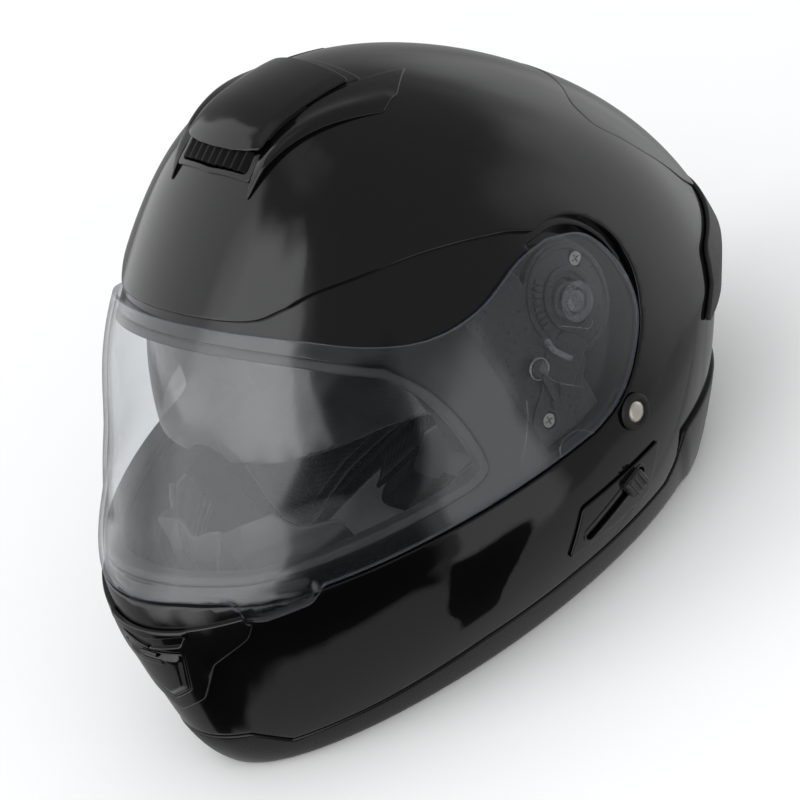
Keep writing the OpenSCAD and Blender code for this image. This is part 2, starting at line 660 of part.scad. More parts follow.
// Micro adjusting buckle: box, sprung lever on a pin, toothed tongue
module turned_down() translate([0, 0, 2 * buckle_z]) mirror([0, 0, 1]) children();
module buckle_receiver() color([0.25, 0.25, 0.26]) turned_down() difference() {
    translate([12, -14.5, buckle_z - 4.4]) cube([38, 29, 9.4]);
    translate([4, -12.2, buckle_z - 2.1]) cube([38, 24.4, 4.2]);
    translate([14, -9.6, buckle_z + 1]) cube([30, 19.2, 8]);
    translate([44, -12, buckle_z - 1.2]) cube([8, 24, 2.4]);
    translate([38, -20, buckle_z + 3.4]) rotate([-90, 0, 0]) cylinder(h = 40, r = 1.55, $fn = 32);
}
module buckle_pin() color([0.7, 0.7, 0.7]) turned_down() translate([38, -14.3, buckle_z + 3.4])
    rotate([-90, 0, 0])
    cylinder(h = 28.6, r = 1.5, $fn = 32);
module buckle_lever() color([0.6, 0.05, 0.05]) turned_down() difference() {
    union() {
        translate([16, -9.1, buckle_z + 2.5]) cube([24, 18.2, 2.2]);
        translate([38, -9.1, buckle_z + 3.4]) rotate([-90, 0, 0]) cylinder(h = 18.2, r = 2.6, $fn = 32);
        translate([16, -9.1, buckle_z + 2.5]) cube([3, 18.2, 3.4]);
    }
    translate([38, -10, buckle_z + 3.4]) rotate([-90, 0, 0]) cylinder(h = 20, r = 1.55, $fn = 32);
}
module buckle_tongue() color([0.55, 0.55, 0.57]) turned_down() {
    translate([-14, -11.6, buckle_z - 1.5]) cube([52, 23.2, 1.6]);
    for (i = [0 : 8]) translate([8 + i * 3, -8, buckle_z + 0.05]) cube([1.4, 16, 0.8]);
    translate([-26, -14, buckle_z - 3]) difference() {
        cube([16, 28, 5]);
        translate([-1, 2, 1.7]) cube([9, 24, 2.4]);
    }
}

outer_shell();
bottom_trim();
eyeport_seal();
eps_liner();
chin_eps();
crown_liner();
cheek_pad_left();
cheek_pad_right();
neck_roll();
chin_curtain();
breath_guard();
visor();
base_plate_left();
base_plate_right();
base_plate_screws();
release_lever_left();
release_lever_right();
lever_springs();
sun_visor();
sun_pivot_left();
sun_pivot_right();
slider_panel();
sun_visor_slider();
slider_cable();
top_vent_housing();
top_vent_cover();
top_vent_grille();
chin_vent_surround();
chin_vent_flap();
chin_vent_grille();
rear_spoiler();
rear_vent_insert();
strap_left();
strap_right();
strap_pads();
strap_rivets();
rivet_rings();
anchor_plates();
buckle_receiver();
buckle_pin();
buckle_lever();
buckle_tongue();
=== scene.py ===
import math

import bmesh
import bpy
import numpy as np
from mathutils import Matrix, Vector


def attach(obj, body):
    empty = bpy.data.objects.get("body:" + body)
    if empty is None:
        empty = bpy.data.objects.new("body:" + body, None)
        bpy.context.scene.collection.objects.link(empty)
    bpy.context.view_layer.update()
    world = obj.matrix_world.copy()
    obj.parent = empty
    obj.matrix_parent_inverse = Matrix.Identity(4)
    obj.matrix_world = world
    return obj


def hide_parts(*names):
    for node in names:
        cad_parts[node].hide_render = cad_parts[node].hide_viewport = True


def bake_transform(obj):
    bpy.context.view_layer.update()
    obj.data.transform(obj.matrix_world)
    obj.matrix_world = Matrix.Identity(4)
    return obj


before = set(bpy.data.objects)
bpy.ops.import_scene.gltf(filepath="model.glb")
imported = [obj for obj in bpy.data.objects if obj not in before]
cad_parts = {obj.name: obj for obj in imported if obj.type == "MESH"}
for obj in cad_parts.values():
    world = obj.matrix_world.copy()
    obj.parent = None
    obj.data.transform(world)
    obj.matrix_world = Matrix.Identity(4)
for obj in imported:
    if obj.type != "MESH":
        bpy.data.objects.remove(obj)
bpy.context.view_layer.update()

MM = 0.001

# ============================================================================
# The shell surface, in millimetres: a stack of rounded oval rows
# ============================================================================
# reach to the front, rear and side, height, and height of the widest row
FR, RR, WR, HH, ZF = 185.0, 169.0, 122.0, 260.0, 73.0
YM = (FR - RR) / 2
V1 = 0.27  # row value at the widest row


def girth(z, r, d, e, q):
    u = np.clip((z - ZF) / (HH - ZF), 0, 1)
    v = np.clip((ZF - z) / ZF, 0, 2)
    return (r - d * v ** e) * np.sqrt(np.clip(1 - u * u, 0, 1)) * (1 - q * u * u)


def girths(z):
    """Reach to the front, back and side at height z, and how far the front is pinched"""
    return (girth(z, FR, 10.5, 5.5, 0.483), girth(z, RR, 62, 1, 0.202), girth(z, WR, 25.5, 2, -0.075),
            0.088 + 0.007 * np.maximum(z, 0) / HH)


def unit(v, eps=1e-12):
    return v / (np.linalg.norm(v, axis=-1, keepdims=True) + eps)


def raw(a, z):
    f, b, w, k = girths(z)
    c, s = np.cos(a), np.sin(a)
    return np.stack([w * s * (1 - k * c ** 3), YM - (f + b) / 2 * c - (f - b) / 2 * c * c, z + 0 * a], -1)


def row_z(v):
    v = np.asarray(v, float)
    hi = ZF + (HH - ZF) * np.sin(np.pi / 2 * np.clip((v - V1) / (1 - V1), 0, 1))
    return np.where(v < V1, ZF * v / V1, hi)


def base(uv):
    """Point and outward normal of the bare shell surface at (angle, row)"""
    a, v = uv[..., 0], uv[..., 1]
    p = raw(a, row_z(v))
    e = 1e-3
    vv = np.clip(v, 0, 1 - 4 * e)
    da = raw(a + e, row_z(vv)) - raw(a - e, row_z(vv))
    dv = raw(a, row_z(vv + e)) - raw(a, row_z(vv - e))
    return p, unit(np.cross(da, dv))


# ---- outlines, drawn in side view as (y, z) ---------------------------------
def spline(p, n=10, end=False):
    """Smooth curve through points; end adds the last point itself"""
    p = np.array(p, float)
    out = []
    for i in range(len(p) - 1):
        a, b, c, d = p[max(i - 1, 0)], p[i], p[i + 1], p[min(i + 2, len(p) - 1)]
        for j in range(n):
            s = j / n
            out.append(0.5 * (2 * b + (c - a) * s + (2 * a - 5 * b + 4 * c - d) * s * s
                              + (3 * b - a - 3 * c + d) * s ** 3))
    return np.vstack(out + [p[-1]]) if end else np.array(out)


VIS_LOW = [[-230, 110], [-175, 106], [-158, 101], [-135, 93.5], [-67, 86], [9, 78], [19, 77]]
VIS_EAR = [[19, 77], [38, 79], [57, 88], [75, 104], [80, 126], [73, 149], [54, 162]]
VIS_TOP = [[54, 162], [33, 165], [2, 162], [-26, 166.5], [-50, 179], [-70, 195], [-90, 209], [-130, 234],
           [-230, 300]]
BROW = [[57, 165], [51, 168], [33, 180.5], [-4, 197], [-44, 205.5], [-62, 205], [-75, 205], [-92, 214],
        [-130, 238], [-230, 304]]
EYE_LOW = [[-230, 118], [-175, 114], [-158, 109], [-135, 102], [-67, 95.5], [-44, 94]]
EYE_REAR = [[-44, 94], [-35, 99], [-34, 120], [-38, 144], [-48, 165]]
EYE_TOP = [[-48, 165], [-60, 175], [-76, 189], [-96, 204], [-130, 226], [-230, 290]]
TRIM = [[-230, 25], [-168, 24.5], [-156, 13.5], [-120, 14], [-70, 17], [48, 15], [58, 20], [68, 32],
        [110, 30], [220, 28]]
visor_poly = np.vstack([spline(VIS_LOW), spline(VIS_EAR), spline(VIS_TOP), [[-230, 300]]])
brow_poly = np.vstack([spline(VIS_LOW), [[19, 77], [60, 144], [58, 164]], spline(BROW), [[-230, 304]]])
eye_poly = np.vstack([spline(EYE_LOW), spline(EYE_REAR), spline(EYE_TOP), [[-230, 290]]])
trim_poly = np.vstack([TRIM, [[220, -8], [-230, -8]]])
PIV = np.array([48.0, 130.0])  # visor pivot


def sd(q, poly):
    """Signed distance to a closed outline, negative inside"""
    shape = q.shape[:-1]
    q = q.reshape(-1, 2)
    d = np.full(len(q), 1e9)
    inside = np.zeros(len(q), bool)
    for (ax, ay), (bx, by) in zip(poly, np.roll(poly, -1, 0)):
        ex, ey = bx - ax, by - ay
        wx, wy = q[:, 0] - ax, q[:, 1] - ay
        t = np.clip((wx * ex + wy * ey) / (ex * ex + ey * ey + 1e-12), 0, 1)
        d = np.minimum(d, (wx - ex * t) ** 2 + (wy - ey * t) ** 2)
        if ay != by:
            inside ^= ((ay > q[:, 1]) != (by > q[:, 1])) & (q[:, 0] < ex * (q[:, 1] - ay) / ey + ax)
    d = np.sqrt(d)
    return np.where(inside, -d, d).reshape(shape)


def side(p):
    return p[..., 1:3]


def side_dist(p, c):
    """Distance from c in the side view"""
    return np.hypot(p[..., 1] - c[0], p[..., 2] - c[1])


def f_visor(p):
    """The visor's outline, with its thumb tab blended in on the left"""
    tab = np.array([[-153, 90], [-148, 87.5], [-131, 87.5], [-126, 91], [-126, 100], [-153, 107]], float)
    f = sd(side(p), visor_poly)
    g = np.maximum(sd(side(p), tab) - 1.5, 40 - p[..., 0])
    k = 4.0
    h = np.clip(0.5 + 0.5 * (g - f) / k, 0, 1)
    return np.where(p[..., 0] > 20, g * (1 - h) + f * h - k * h * (1 - h), f)


def f_ear(p, r):
    return np.maximum(side_dist(p, PIV) - r, 44 - p[..., 1])


def f_step(p):
    q = side(p)
    return np.minimum(np.minimum(sd(q, visor_poly) - 1.4, f_ear(p, 38.5)), sd(q, brow_poly))


def f_pocket(p):
    q = side(p)
    v = sd(q, visor_poly)
    return np.minimum(np.minimum(np.maximum(v + 3.2, -6 - q[..., 0]), np.maximum(v - 1, 44 - q[..., 0])),
                      f_ear(p, 33.5))


def f_eye(p):
    return sd(side(p), eye_poly)


def f_trim(p):
    return sd(side(p), trim_poly)


# ============================================================================
# Sheets cut out of a surface by an outline, with rolled edges
# ============================================================================
class Sheet:
    """Faces over (angle, row) values. surf maps them to point and normal."""

    def __init__(self, surf, us, vs):
        self.surf = surf
        nu, nv = len(us), len(vs)
        u, v = np.meshgrid(us, vs)
        self.uv = np.stack([u, v], -1).reshape(-1, 2)
        i, j = np.meshgrid(np.arange(nu - 1), np.arange(nv - 1))
        k = (j * nu + i).reshape(-1)
        self.faces = np.stack([k, k + 1, k + nu + 1, k + nu], -1).tolist()

    def pts(self):
        return self.surf(self.uv)

    def clip(self, fn):
        """Keep what lies inside fn < 0, with the cut edge exactly on the outline"""
        f = fn(self.pts()[0])
        f = np.where(np.abs(f) < 1e-6, -1e-6, f)
        edge, out, need = {}, [], []

        def crossing(i, j):
            key = (i, j) if i < j else (j, i)
            if key not in edge:
                edge[key] = len(self.uv) + len(need)
                need.append(key)
            return edge[key]

        for face in self.faces:
            s = [f[i] < 0 for i in face]
            if all(s):
                out.append(face)
            elif any(s):
                new = []
                for m, i in enumerate(face):
                    j = face[(m + 1) % len(face)]
                    if f[i] < 0:
                        new.append(i)
                    if (f[i] < 0) != (f[j] < 0):
                        new.append(crossing(i, j))
                out.append(new)
        if need:
            ij = np.array(need)
            a, b = self.uv[ij[:, 0]].copy(), self.uv[ij[:, 1]].copy()
            fa, fb = f[ij[:, 0]].copy(), f[ij[:, 1]].copy()
            for _ in range(6):
                t = np.clip(fa / (fa - fb), 0.02, 0.98)[:, None]
                m = a + (b - a) * t
                fm = fn(self.surf(m)[0])
                same = (fm < 0) == (fa < 0)
                a, fa = np.where(same[:, None], m, a), np.where(same, fm, fa)
                b, fb = np.where(same[:, None], b, m), np.where(same, fb, fm)
            t = np.clip(fa / (fa - fb + 1e-15), 0, 1)[:, None]
            self.uv = np.vstack([self.uv, a + (b - a) * t])
        used = np.zeros(len(self.uv), bool)
        for face in out:
            used[face] = True
        remap = np.cumsum(used) - 1
        self.uv = self.uv[used]
        self.faces = [[int(remap[i]) for i in face] for face in out]


def weld(p, n, faces, tol=0.02):
    """Merge coinciding points; returns points, normals, faces"""
    key = np.round(p / tol).astype(np.int64)
    _, first, inv = np.unique(key, axis=0, return_index=True, return_inverse=True)
    inv = inv.reshape(-1)
    out = []
    for face in faces:
        g = []
        for i in face:
            k = int(inv[i])
            if not g or g[-1] != k:
                g.append(k)
        if len(g) > 1 and g[0] == g[-1]:
            g.pop()
        if len(g) > 2 and len(set(g)) == len(g):
            out.append(g)
    return p[first], n[first], out


def loops_of(faces):
    """Boundary loops, each in the direction of its faces"""
    seen = {}
    for face in faces:
        for m, i in enumerate(face):
            j = face[(m + 1) % len(face)]
            if (j, i) in seen:
                del seen[(j, i)]
            else:
                seen[(i, j)] = True
    nxt = {}
    for i, j in seen:
        nxt.setdefault(i, []).append(j)
    loops = []
    while nxt:
        start = next(iter(nxt))
        loop, i = [start], start
        while True:
            j = nxt[i].pop()
            if not nxt[i]:
                del nxt[i]
            if j == start:
                break
            loop.append(j)
            i = j
            if i not in nxt:
                break
        if len(loop) > 2:
            loops.append(loop)
    return loops


def smooth_loop(x, n=2):
    for _ in range(n):
        x = 0.25 * np.roll(x, 1, 0) + 0.5 * x + 0.25 * np.roll(x, -1, 0)
    return x


def body_from(sheet, radius=0.8, depth=2.0, close=True, steps=3):
    """Turn a sheet into a solid: rolled edge, wall, and a back face offset inwards.
    The sheet is already drawn in by the radius, so the wall stands on the outline."""
    p, n = sheet.pts()
    p, n, faces = weld(p, n, sheet.faces)
    loops = loops_of(faces)
    v, f = [p], list(faces)
    count = len(p)
    mid, cnt = np.zeros((len(p), 3)), np.zeros(len(p))
    for face in faces:
        mid[face] += p[face].mean(0)
        cnt[face] += 1
    mid /= np.maximum(cnt, 1)[:, None]
    tops = len(faces)
    ends = []
    for loop in loops:
        lp, ln = p[loop], n[loop]
        t = smooth_loop(np.roll(lp, -1, 0) - np.roll(lp, 1, 0), 1)
        lat = unit(np.cross(t, ln))
        if (lat * (lp - mid[loop])).sum() < 0:
            lat = -lat
        low = depth - radius if close else depth
        turn = [math.pi / 2 * k / steps for k in range(1, steps + 1)]
        rings = [(radius * math.sin(t), radius * (1 - math.cos(t))) for t in turn] + [(radius, low)]
        if close:
            rings += [(radius * math.cos(t), low + radius * math.sin(t)) for t in turn]
        prev = loop
        m = len(loop)
        for a, b in rings:
            new = list(range(count, count + m))
            v.append(lp + lat * a - ln * b)
            f += [[prev[(i + 1) % m], prev[i], new[i], new[(i + 1) % m]] for i in range(m)]
            prev = new
            count += m
        ends.append((loop, prev))
    rims = len(f)
    if close:
        v.append(p - n * depth)
        off = count
        f += [[i + off for i in reversed(face)] for face in faces]
        for loop, prev in ends:
            m = len(loop)
            f += [[prev[(i + 1) % m], prev[i], loop[i] + off, loop[(i + 1) % m] + off] for i in range(m)]
    body_from.tags = [0] * tops + [1] * (rims - tops) + [2] * (len(f) - rims)
    return np.vstack(v), f


def offset_surf(h):
    """Shell surface moved out by h, a number or a function of the point"""
    def surf(uv):
        p, n = base(uv)
        d = h(p, n) if callable(h) else h
        return p + n * np.asarray(d)[..., None] if callable(h) else p + n * h, n
    return surf


def sheet_on(h=0.0, a=(-180, 180), v=(0.0, 1.0), step=1.8):
    """A fine sheet over part of the shell; a in degrees from the front, v in rows"""
    na = max(8, int(abs(a[1] - a[0]) / 360 * 680 / step))
    nv = max(6, int((v[1] - v[0]) * 290 / step))
    return Sheet(offset_surf(h), np.radians(np.linspace(a[0], a[1], na + 1)), np.linspace(v[0], v[1], nv + 1))


def v_of_z(z):
    return V1 * z / ZF if z < ZF else V1 + (1 - V1) * math.asin(min((z - ZF) / (HH - ZF), 1)) * 2 / math.pi


def band(low, high):
    """Row values between two heights"""
    return v_of_z(low), v_of_z(high)


# ---- the same surface seen from above, for parts close to the crown -----------
def half_width(y, z):
    f, b, w, k = girths(z)
    m, d, q = (f + b) / 2, (f - b) / 2, y - YM
    disc = m * m - 4 * d * q
    c = np.where(np.abs(d) < 0.05, -q / np.maximum(m, 1e-6),
                 (-m + np.sqrt(np.maximum(disc, 0))) / np.where(np.abs(d) < 0.05, 1, 2 * d))
    ok = (np.abs(c) <= 1) & (disc >= 0)
    return np.where(ok, w * np.sqrt(np.clip(1 - c * c, 0, 1)) * (1 - k * c ** 3), 0)


def top_z(x, y):
    lo, hi = np.full(x.shape, 90.0), np.full(x.shape, HH)
    for _ in range(30):
        z = (lo + hi) / 2
        inside = np.abs(x) < half_width(y, z)
        lo, hi = np.where(inside, z, lo), np.where(inside, hi, z)
    return (lo + hi) / 2


def top_pts(x, y, h):
    z = top_z(x, y)
    e = 0.5
    gx = (top_z(x + e, y) - top_z(x - e, y)) / (2 * e)
    gy = (top_z(x, y + e) - top_z(x, y - e)) / (2 * e)
    n = unit(np.stack([-gx, -gy, np.ones_like(gx)], -1), 0)
    return np.stack([x, y, z], -1) + n * np.asarray(h)[..., None], n


def top_sheet(lift, x, y, step=1.0):
    def surf(uv):
        h = lift(uv[..., 0], uv[..., 1]) if callable(lift) else np.full(uv.shape[:-1], float(lift))
        return top_pts(uv[..., 0], uv[..., 1], h)
    nx, ny = int((x[1] - x[0]) / step), int((y[1] - y[0]) / step)
    return Sheet(surf, np.linspace(x[0], x[1], nx + 1), np.linspace(y[0], y[1], ny + 1))


def add_object(name, data):
    ob = bpy.data.objects.new(name, data)
    bpy.context.scene.collection.objects.link(ob)
    return ob


class Parts:
    """Collects solids into one mesh, with a material number for each face"""

    def __init__(self):
        self.v, self.f, self.m, self.n = [], [], [], 0

    def add(self, v, f, mat=0, both=False):
        """mat is one material number, or one for each face; both adds the mirror image too"""
        v = np.asarray(v, float)
        self.v.append(v)
        self.f += [[i + self.n for i in x] for x in f]
        self.m += list(mat) if isinstance(mat, (list, tuple)) else [mat] * len(f)
        self.n += len(v)
        if both:
            self.add(v * [-1, 1, 1], [list(reversed(x)) for x in f], mat)
        return self

    def make(self, name, mats, body="helmet_body", slot=None, replaces=(), sharp=38):
        mats = mats if isinstance(mats, (list, tuple)) else [mats]
        me = bpy.data.meshes.new(name)
        me.from_pydata((np.vstack(self.v) * MM).tolist(), [], self.f)
        me.polygons.foreach_set("material_index", self.m)
        for m in mats:
            me.materials.append(m)
        bm = bmesh.new()
        bm.from_mesh(me)
        bmesh.ops.remove_doubles(bm, verts=bm.verts, dist=0.01 * MM)
        bmesh.ops.dissolve_degenerate(bm, dist=1e-7, edges=bm.edges)
        bmesh.ops.recalc_face_normals(bm, faces=bm.faces)
        bm.to_mesh(me)
        bm.free()
        me.validate()
        me.polygons.foreach_set("use_smooth", [True] * len(me.polygons))
        me.set_sharp_from_angle(angle=math.radians(sharp))
        ob = add_object(name, me)
        if body:
            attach(ob, body)
        if replaces:
            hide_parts(*replaces)
        return ob


def cut(sheet, fns, r):
    for fn in fns:
        sheet.clip(lambda p, fn=fn: fn(p) + r)
    return sheet


def slab(fns, lift, depth, a=(-180, 180), v=(0.0, 1.0), r=0.6, step=1.4, close=True, top=None):
    """A plate over the shell: outlines as functions, its upper surface lifted off the shell"""
    s = top_sheet(lift, *top, step=step) if top else sheet_on(lift, a, v, step)
    cut(s, fns, r)
    return body_from(s, r, depth, close)


XY, YZ, XZ = [0, 1], [1, 2], [0, 2]


def inside_of(poly, axes=YZ):
    poly = np.array(poly, float)
    return lambda p: sd(p[..., axes], poly)


def outside_of(poly, axes=YZ, gap=0.0):
    poly = np.array(poly, float)
    return lambda p: gap - sd(p[..., axes], poly)


def rounded(poly, r, n=5):
    """Outline with its corners rounded"""
    poly = np.array(poly, float)
    out = []
    for i in range(len(poly)):
        a, b, c = poly[i - 1], poly[i], poly[(i + 1) % len(poly)]
        la, lc = np.linalg.norm(a - b), np.linalg.norm(c - b)
        t = min(r, la * 0.45, lc * 0.45)
        p0, p1 = b + (a - b) / la * t, b + (c - b) / lc * t
        for k in range(n + 1):
            s = k / n
            out.append((1 - s) ** 2 * p0 + 2 * s * (1 - s) * b + s * s * p1)
    return np.array(out)


def capsule(a, b, r, n=16):
    """Outline of a slot with round ends"""
    a, b = np.array(a, float), np.array(b, float)
    th = math.atan2(*(b - a)[::-1])
    half = [r * np.array([math.cos(th + t), math.sin(th + t)]) for t in np.linspace(-math.pi / 2, math.pi / 2,
            n)]
    return np.array([b + h for h in half] + [a - h for h in half])


def strips(m, n, closed=False):
    """Quads between m rings of n points, with end faces unless closed"""
    f = []
    for k in range(m if closed else m - 1):
        a, b = k * n, (k + 1) % m * n
        f += [[a + i, a + (i + 1) % n, b + (i + 1) % n, b + i] for i in range(n)]
    if not closed:
        f += [list(range(n))[::-1], list(range((m - 1) * n, m * n))]
    return f


def tube(path, r, n=10, closed=False):
    """Round bar along a path; r may vary along it"""
    path = np.array(path, float)
    m = len(path)
    t = np.roll(path, -1, 0) - np.roll(path, 1, 0) if closed else np.gradient(path, axis=0)
    t = unit(t)
    ref = np.array([0.0, 0, 1]) if abs(t[0][2]) < 0.9 else np.array([1.0, 0, 0])
    us = []
    u = np.cross(t[0], ref)
    for k in range(m):
        u = unit(u - t[k] * (u @ t[k]))
        us.append(u)
    us = np.array(us)
    ws = np.cross(t, us)
    r = np.broadcast_to(np.asarray(r, float), (m,))
    ang = np.linspace(0, 2 * math.pi, n, endpoint=False)
    ring = us[:, None] * np.cos(ang)[None, :, None] + ws[:, None] * np.sin(ang)[None, :, None]
    return (path[:, None] + r[:, None, None] * ring).reshape(-1, 3), strips(m, n, closed)


def lathe(profile, origin, axis=(1, 0, 0), n=48):
    """Turned part: profile of (along, radius) pairs about an axis"""
    ax = unit(np.array(axis, float), 0)
    u = unit(np.cross(ax, [0, 0, 1.0] if abs(ax[2]) < 0.9 else [1.0, 0, 0]), 0)
    w = np.cross(ax, u)
    ang = np.linspace(0, 2 * math.pi, n, endpoint=False)
    ring = u[None] * np.cos(ang)[:, None] + w[None] * np.sin(ang)[:, None]
    v = np.vstack([np.array(origin) + ax * t + ring * max(r, 1e-3) for t, r in profile])
    return v, strips(len(profile), n)


def block(size, centre, bevel):
    """Block with rounded edges"""
    bm = bmesh.new()
    bmesh.ops.create_cube(bm, size=1)
    for q in bm.verts:
        q.co = Vector((q.co.x * size[0], q.co.y * size[1], q.co.z * size[2]))
    bmesh.ops.bevel(bm, geom=list(bm.edges), offset=bevel, segments=3, profile=0.5, affect="EDGES")
    v = np.array([q.co[:] for q in bm.verts])
    f = [[q.index for q in face.verts] for face in bm.faces]
    bm.free()
    return v + np.array(centre), f


def rot_x(deg):
    c, s = math.cos(math.radians(deg)), math.sin(math.radians(deg))
    return np.array([[1, 0, 0], [0, c, -s], [0, s, c]])


def side_pt(y, z, h=0.0):
    """Point on the left side of the shell at side-view position, moved out by h"""
    y, z = np.asarray(y, float), np.asarray(z, float)
    e = 0.5
    x = half_width(y, z)
    gy = (half_width(y + e, z) - half_width(y - e, z)) / (2 * e)
    gz = (half_width(y, z + e) - half_width(y, z - e)) / (2 * e)
    n = unit(np.stack([np.ones_like(x), -gy, -gz], -1), 0)
    return np.stack([x, y + 0 * x, z + 0 * x], -1) + n * np.asarray(h)[..., None] * np.ones_like(x)[..., None]


def step01(t):
    t = np.clip(t, 0, 1)
    return t * t * (3 - 2 * t)


# ============================================================================
# Materials
# ============================================================================
def node_mat(name):
    m = bpy.data.materials.new(name)
    m.use_nodes = True
    nt = m.node_tree
    nt.nodes.clear()
    return m, nt, nt.nodes.new("ShaderNodeOutputMaterial")


def put(nt, sock, val):
    """Set a socket, or link it when given another node's output"""
    if hasattr(val, "is_output"):
        nt.links.new(val, sock)
    else:
        sock.default_value = val


def node(nt, kind, inputs=None, **props):
    n = nt.nodes.new("ShaderNode" + kind)
    for k, v in props.items():
        setattr(n, k, v)
    for k, v in (inputs or {}).items():
        put(nt, n.inputs[k], v)
    return n


def coords(nt):
    return node(nt, "TexCoord").outputs["Object"]


def noise(nt, scale, detail=3, rough=0.5, vec=None):
    vec = coords(nt) if vec is None else vec
    return node(nt, "TexNoise", {"Scale": scale, "Detail": detail, "Roughness": rough,
                                 "Vector": vec}).outputs[0]


def times(nt, a, b):
    return node(nt, "Math", {0: a, 1: b}, operation="MULTIPLY").outputs[0]


def ramp(nt, src, value, low, high):
    """A colour or value times a factor, from (texture level, factor) to (texture level, factor)"""
    value = value if isinstance(value, tuple) else (value,) * 3
    r = node(nt, "ValToRGB", {0: src})
    for e, (level, factor) in zip(r.color_ramp.elements, (low, high)):
        e.position = level
        e.color = (*(x * factor for x in value), 1)
    return r.outputs[0]


def bump(nt, height, strength, dist):
    return node(nt, "Bump", {"Strength": strength, "Distance": dist, "Height": height}).outputs[0]


def surface(nt, out, **kw):
    """Principled surface; keywords are socket names with _ for spaces"""
    b = node(nt, "BsdfPrincipled", {k.replace("_", " "): v for k, v in kw.items()})
    put(nt, out.inputs[0], b.outputs[0])


def gloss_paint(name, col=(0.0011, 0.0011, 0.0013), rough=0.03):
    m, nt, out = node_mat(name)
    surface(nt, out, Roughness=0.3, Coat_Weight=1.0, Specular_IOR_Level=0.06,
            Base_Color=ramp(nt, noise(nt, 2600, 1), col, (0.45, 1), (0.75, 2)),
            Coat_Roughness=ramp(nt, noise(nt, 30, 4, 0.6), rough, (0.3, 0.7), (0.75, 1.6)),
            Coat_Normal=bump(nt, noise(nt, 420, 2, 0.4), 0.035, 0.0003))
    return m


def satin(name, col=(0.012, 0.012, 0.013), rough=0.42, grain=900, strength=0.25, spec=0.5):
    m, nt, out = node_mat(name)
    g = noise(nt, grain, 3, 0.7)
    surface(nt, out, Specular_IOR_Level=spec, Normal=bump(nt, g, strength, 0.0002),
            Base_Color=ramp(nt, noise(nt, 14, 5, 0.6), col, (0.3, 0.75), (0.7, 1.35)),
            Roughness=ramp(nt, g, rough, (0.3, 0.85), (0.7, 1.2)))
    return m


def clear_plastic(name, tint, alpha_spec, haze, haze_col=(0.55, 0.57, 0.6), rough=0.015, ior=1.5):
    """Thin clear sheet: tinted see-through, mirror-like reflection at its edges, and a trace of haze. Where
    the haze is raised and tinted, on the visor's rim and the clear mouldings, it paints highlights.
    """
    m, nt, out = node_mat(name)
    smear = noise(nt, 18, 5, 0.65)
    through = node(nt, "BsdfTransparent", {0: (*tint, 1)})
    mirror = node(nt, "BsdfGlossy", {"Color": (1, 1, 1, 1),
                                     "Roughness": ramp(nt, smear, rough, (0.35, 0.6), (0.8, 2.2))})
    # the diffuse haze is real haze on the visor and the smoked lens; on the visor rim and the clear mouldings
    # it is raised and coloured to paint highlights
    haze_and_painted_highlight = node(nt, "BsdfDiffuse", {"Color": (*haze_col, 1)})
    geo = node(nt, "NewGeometry")
    back = node(nt, "MapRange", {"Value": geo.outputs["Backfacing"], "To Min": ior, "To Max": 1 / ior})
    fresnel = node(nt, "Fresnel", {"IOR": back.outputs["Result"]})
    amount = times(nt, ramp(nt, smear, 1.0, (0.3, 0.8), (0.75, 1.2)), haze)
    through_mix_with_painted_highlight = node(nt, "MixShader", {0: amount, 1: through.outputs[0], 2: haze_and_painted_highlight.outputs[0]})
    both = node(nt, "MixShader", {0: times(nt, fresnel.outputs[0], alpha_spec), 1: through_mix_with_painted_highlight.outputs[0],
                                  2: mirror.outputs[0]})
    put(nt, out.inputs[0], both.outputs[0])
    return m


def foam(name, col=(0.022, 0.022, 0.024)):
    m, nt, out = node_mat(name)
    beads = node(nt, "TexVoronoi", {"Scale": 330, "Vector": coords(nt)},
                 feature="SMOOTH_F1").outputs["Distance"]
    inverse = node(nt, "Math", {0: 1, 1: beads}, operation="SUBTRACT").outputs[0]
    # the base colour follows the bead bump: lighter on the bead crowns is painted highlight, darker in the
    # gaps between beads is painted shade
    surface(nt, out, Roughness=0.75, Specular_IOR_Level=0.3, Normal=bump(nt, inverse, 0.6, 0.0006),
            Base_Color=ramp(nt, beads, col, (0.15, 1.5), (0.6, 0.5)))
    return m


def knit(name, col=(0.03, 0.03, 0.032), scale=1400, sheen=0.5):
    m, nt, out = node_mat(name)
    vec = coords(nt)
    weave = [node(nt, "TexWave", {"Scale": scale / 6, "Distortion": 1.2, "Detail": 1, "Detail Scale": 3,
                                  "Vector": vec},
                  wave_type="BANDS", bands_direction=d).outputs["Fac"] for d in ("DIAGONAL", "Z")]
    loops = times(nt, *weave)
    # colour from the knit bump plus noise: lighter on the raised loops and darker in the hollows between them
    # is painted highlight and painted shade; the noise adds random tone
    weave_shade_and_fuzz = node(nt, "Math", {0: loops, 1: 0.5, 2: noise(nt, 60, 5, 0.7)},
                 operation="MULTIPLY_ADD").outputs[0]
    surface(nt, out, Roughness=0.9, Sheen_Weight=sheen, Sheen_Roughness=0.4, Specular_IOR_Level=0.2,
            Sheen_Tint=(0.6, 0.6, 0.65, 1), Normal=bump(nt, loops, 0.5, 0.0004),
            Base_Color=ramp(nt, weave_shade_and_fuzz, col, (0.3, 0.55), (0.9, 1.7)))
    return m


def metal(name, col=(0.62, 0.61, 0.58), rough=0.28):
    m, nt, out = node_mat(name)
    brushed = node(nt, "Mapping", {"Scale": (1, 1, 14), "Vector": coords(nt)})
    n = noise(nt, 500, 3, 0.6, brushed.outputs[0])
    surface(nt, out, Metallic=1.0, Normal=bump(nt, n, 0.15, 0.0001),
            Base_Color=ramp(nt, n, col, (0.3, 0.8), (0.7, 1)),
            Roughness=ramp(nt, n, rough, (0.3, 0.7), (0.7, 1.5)))
    return m


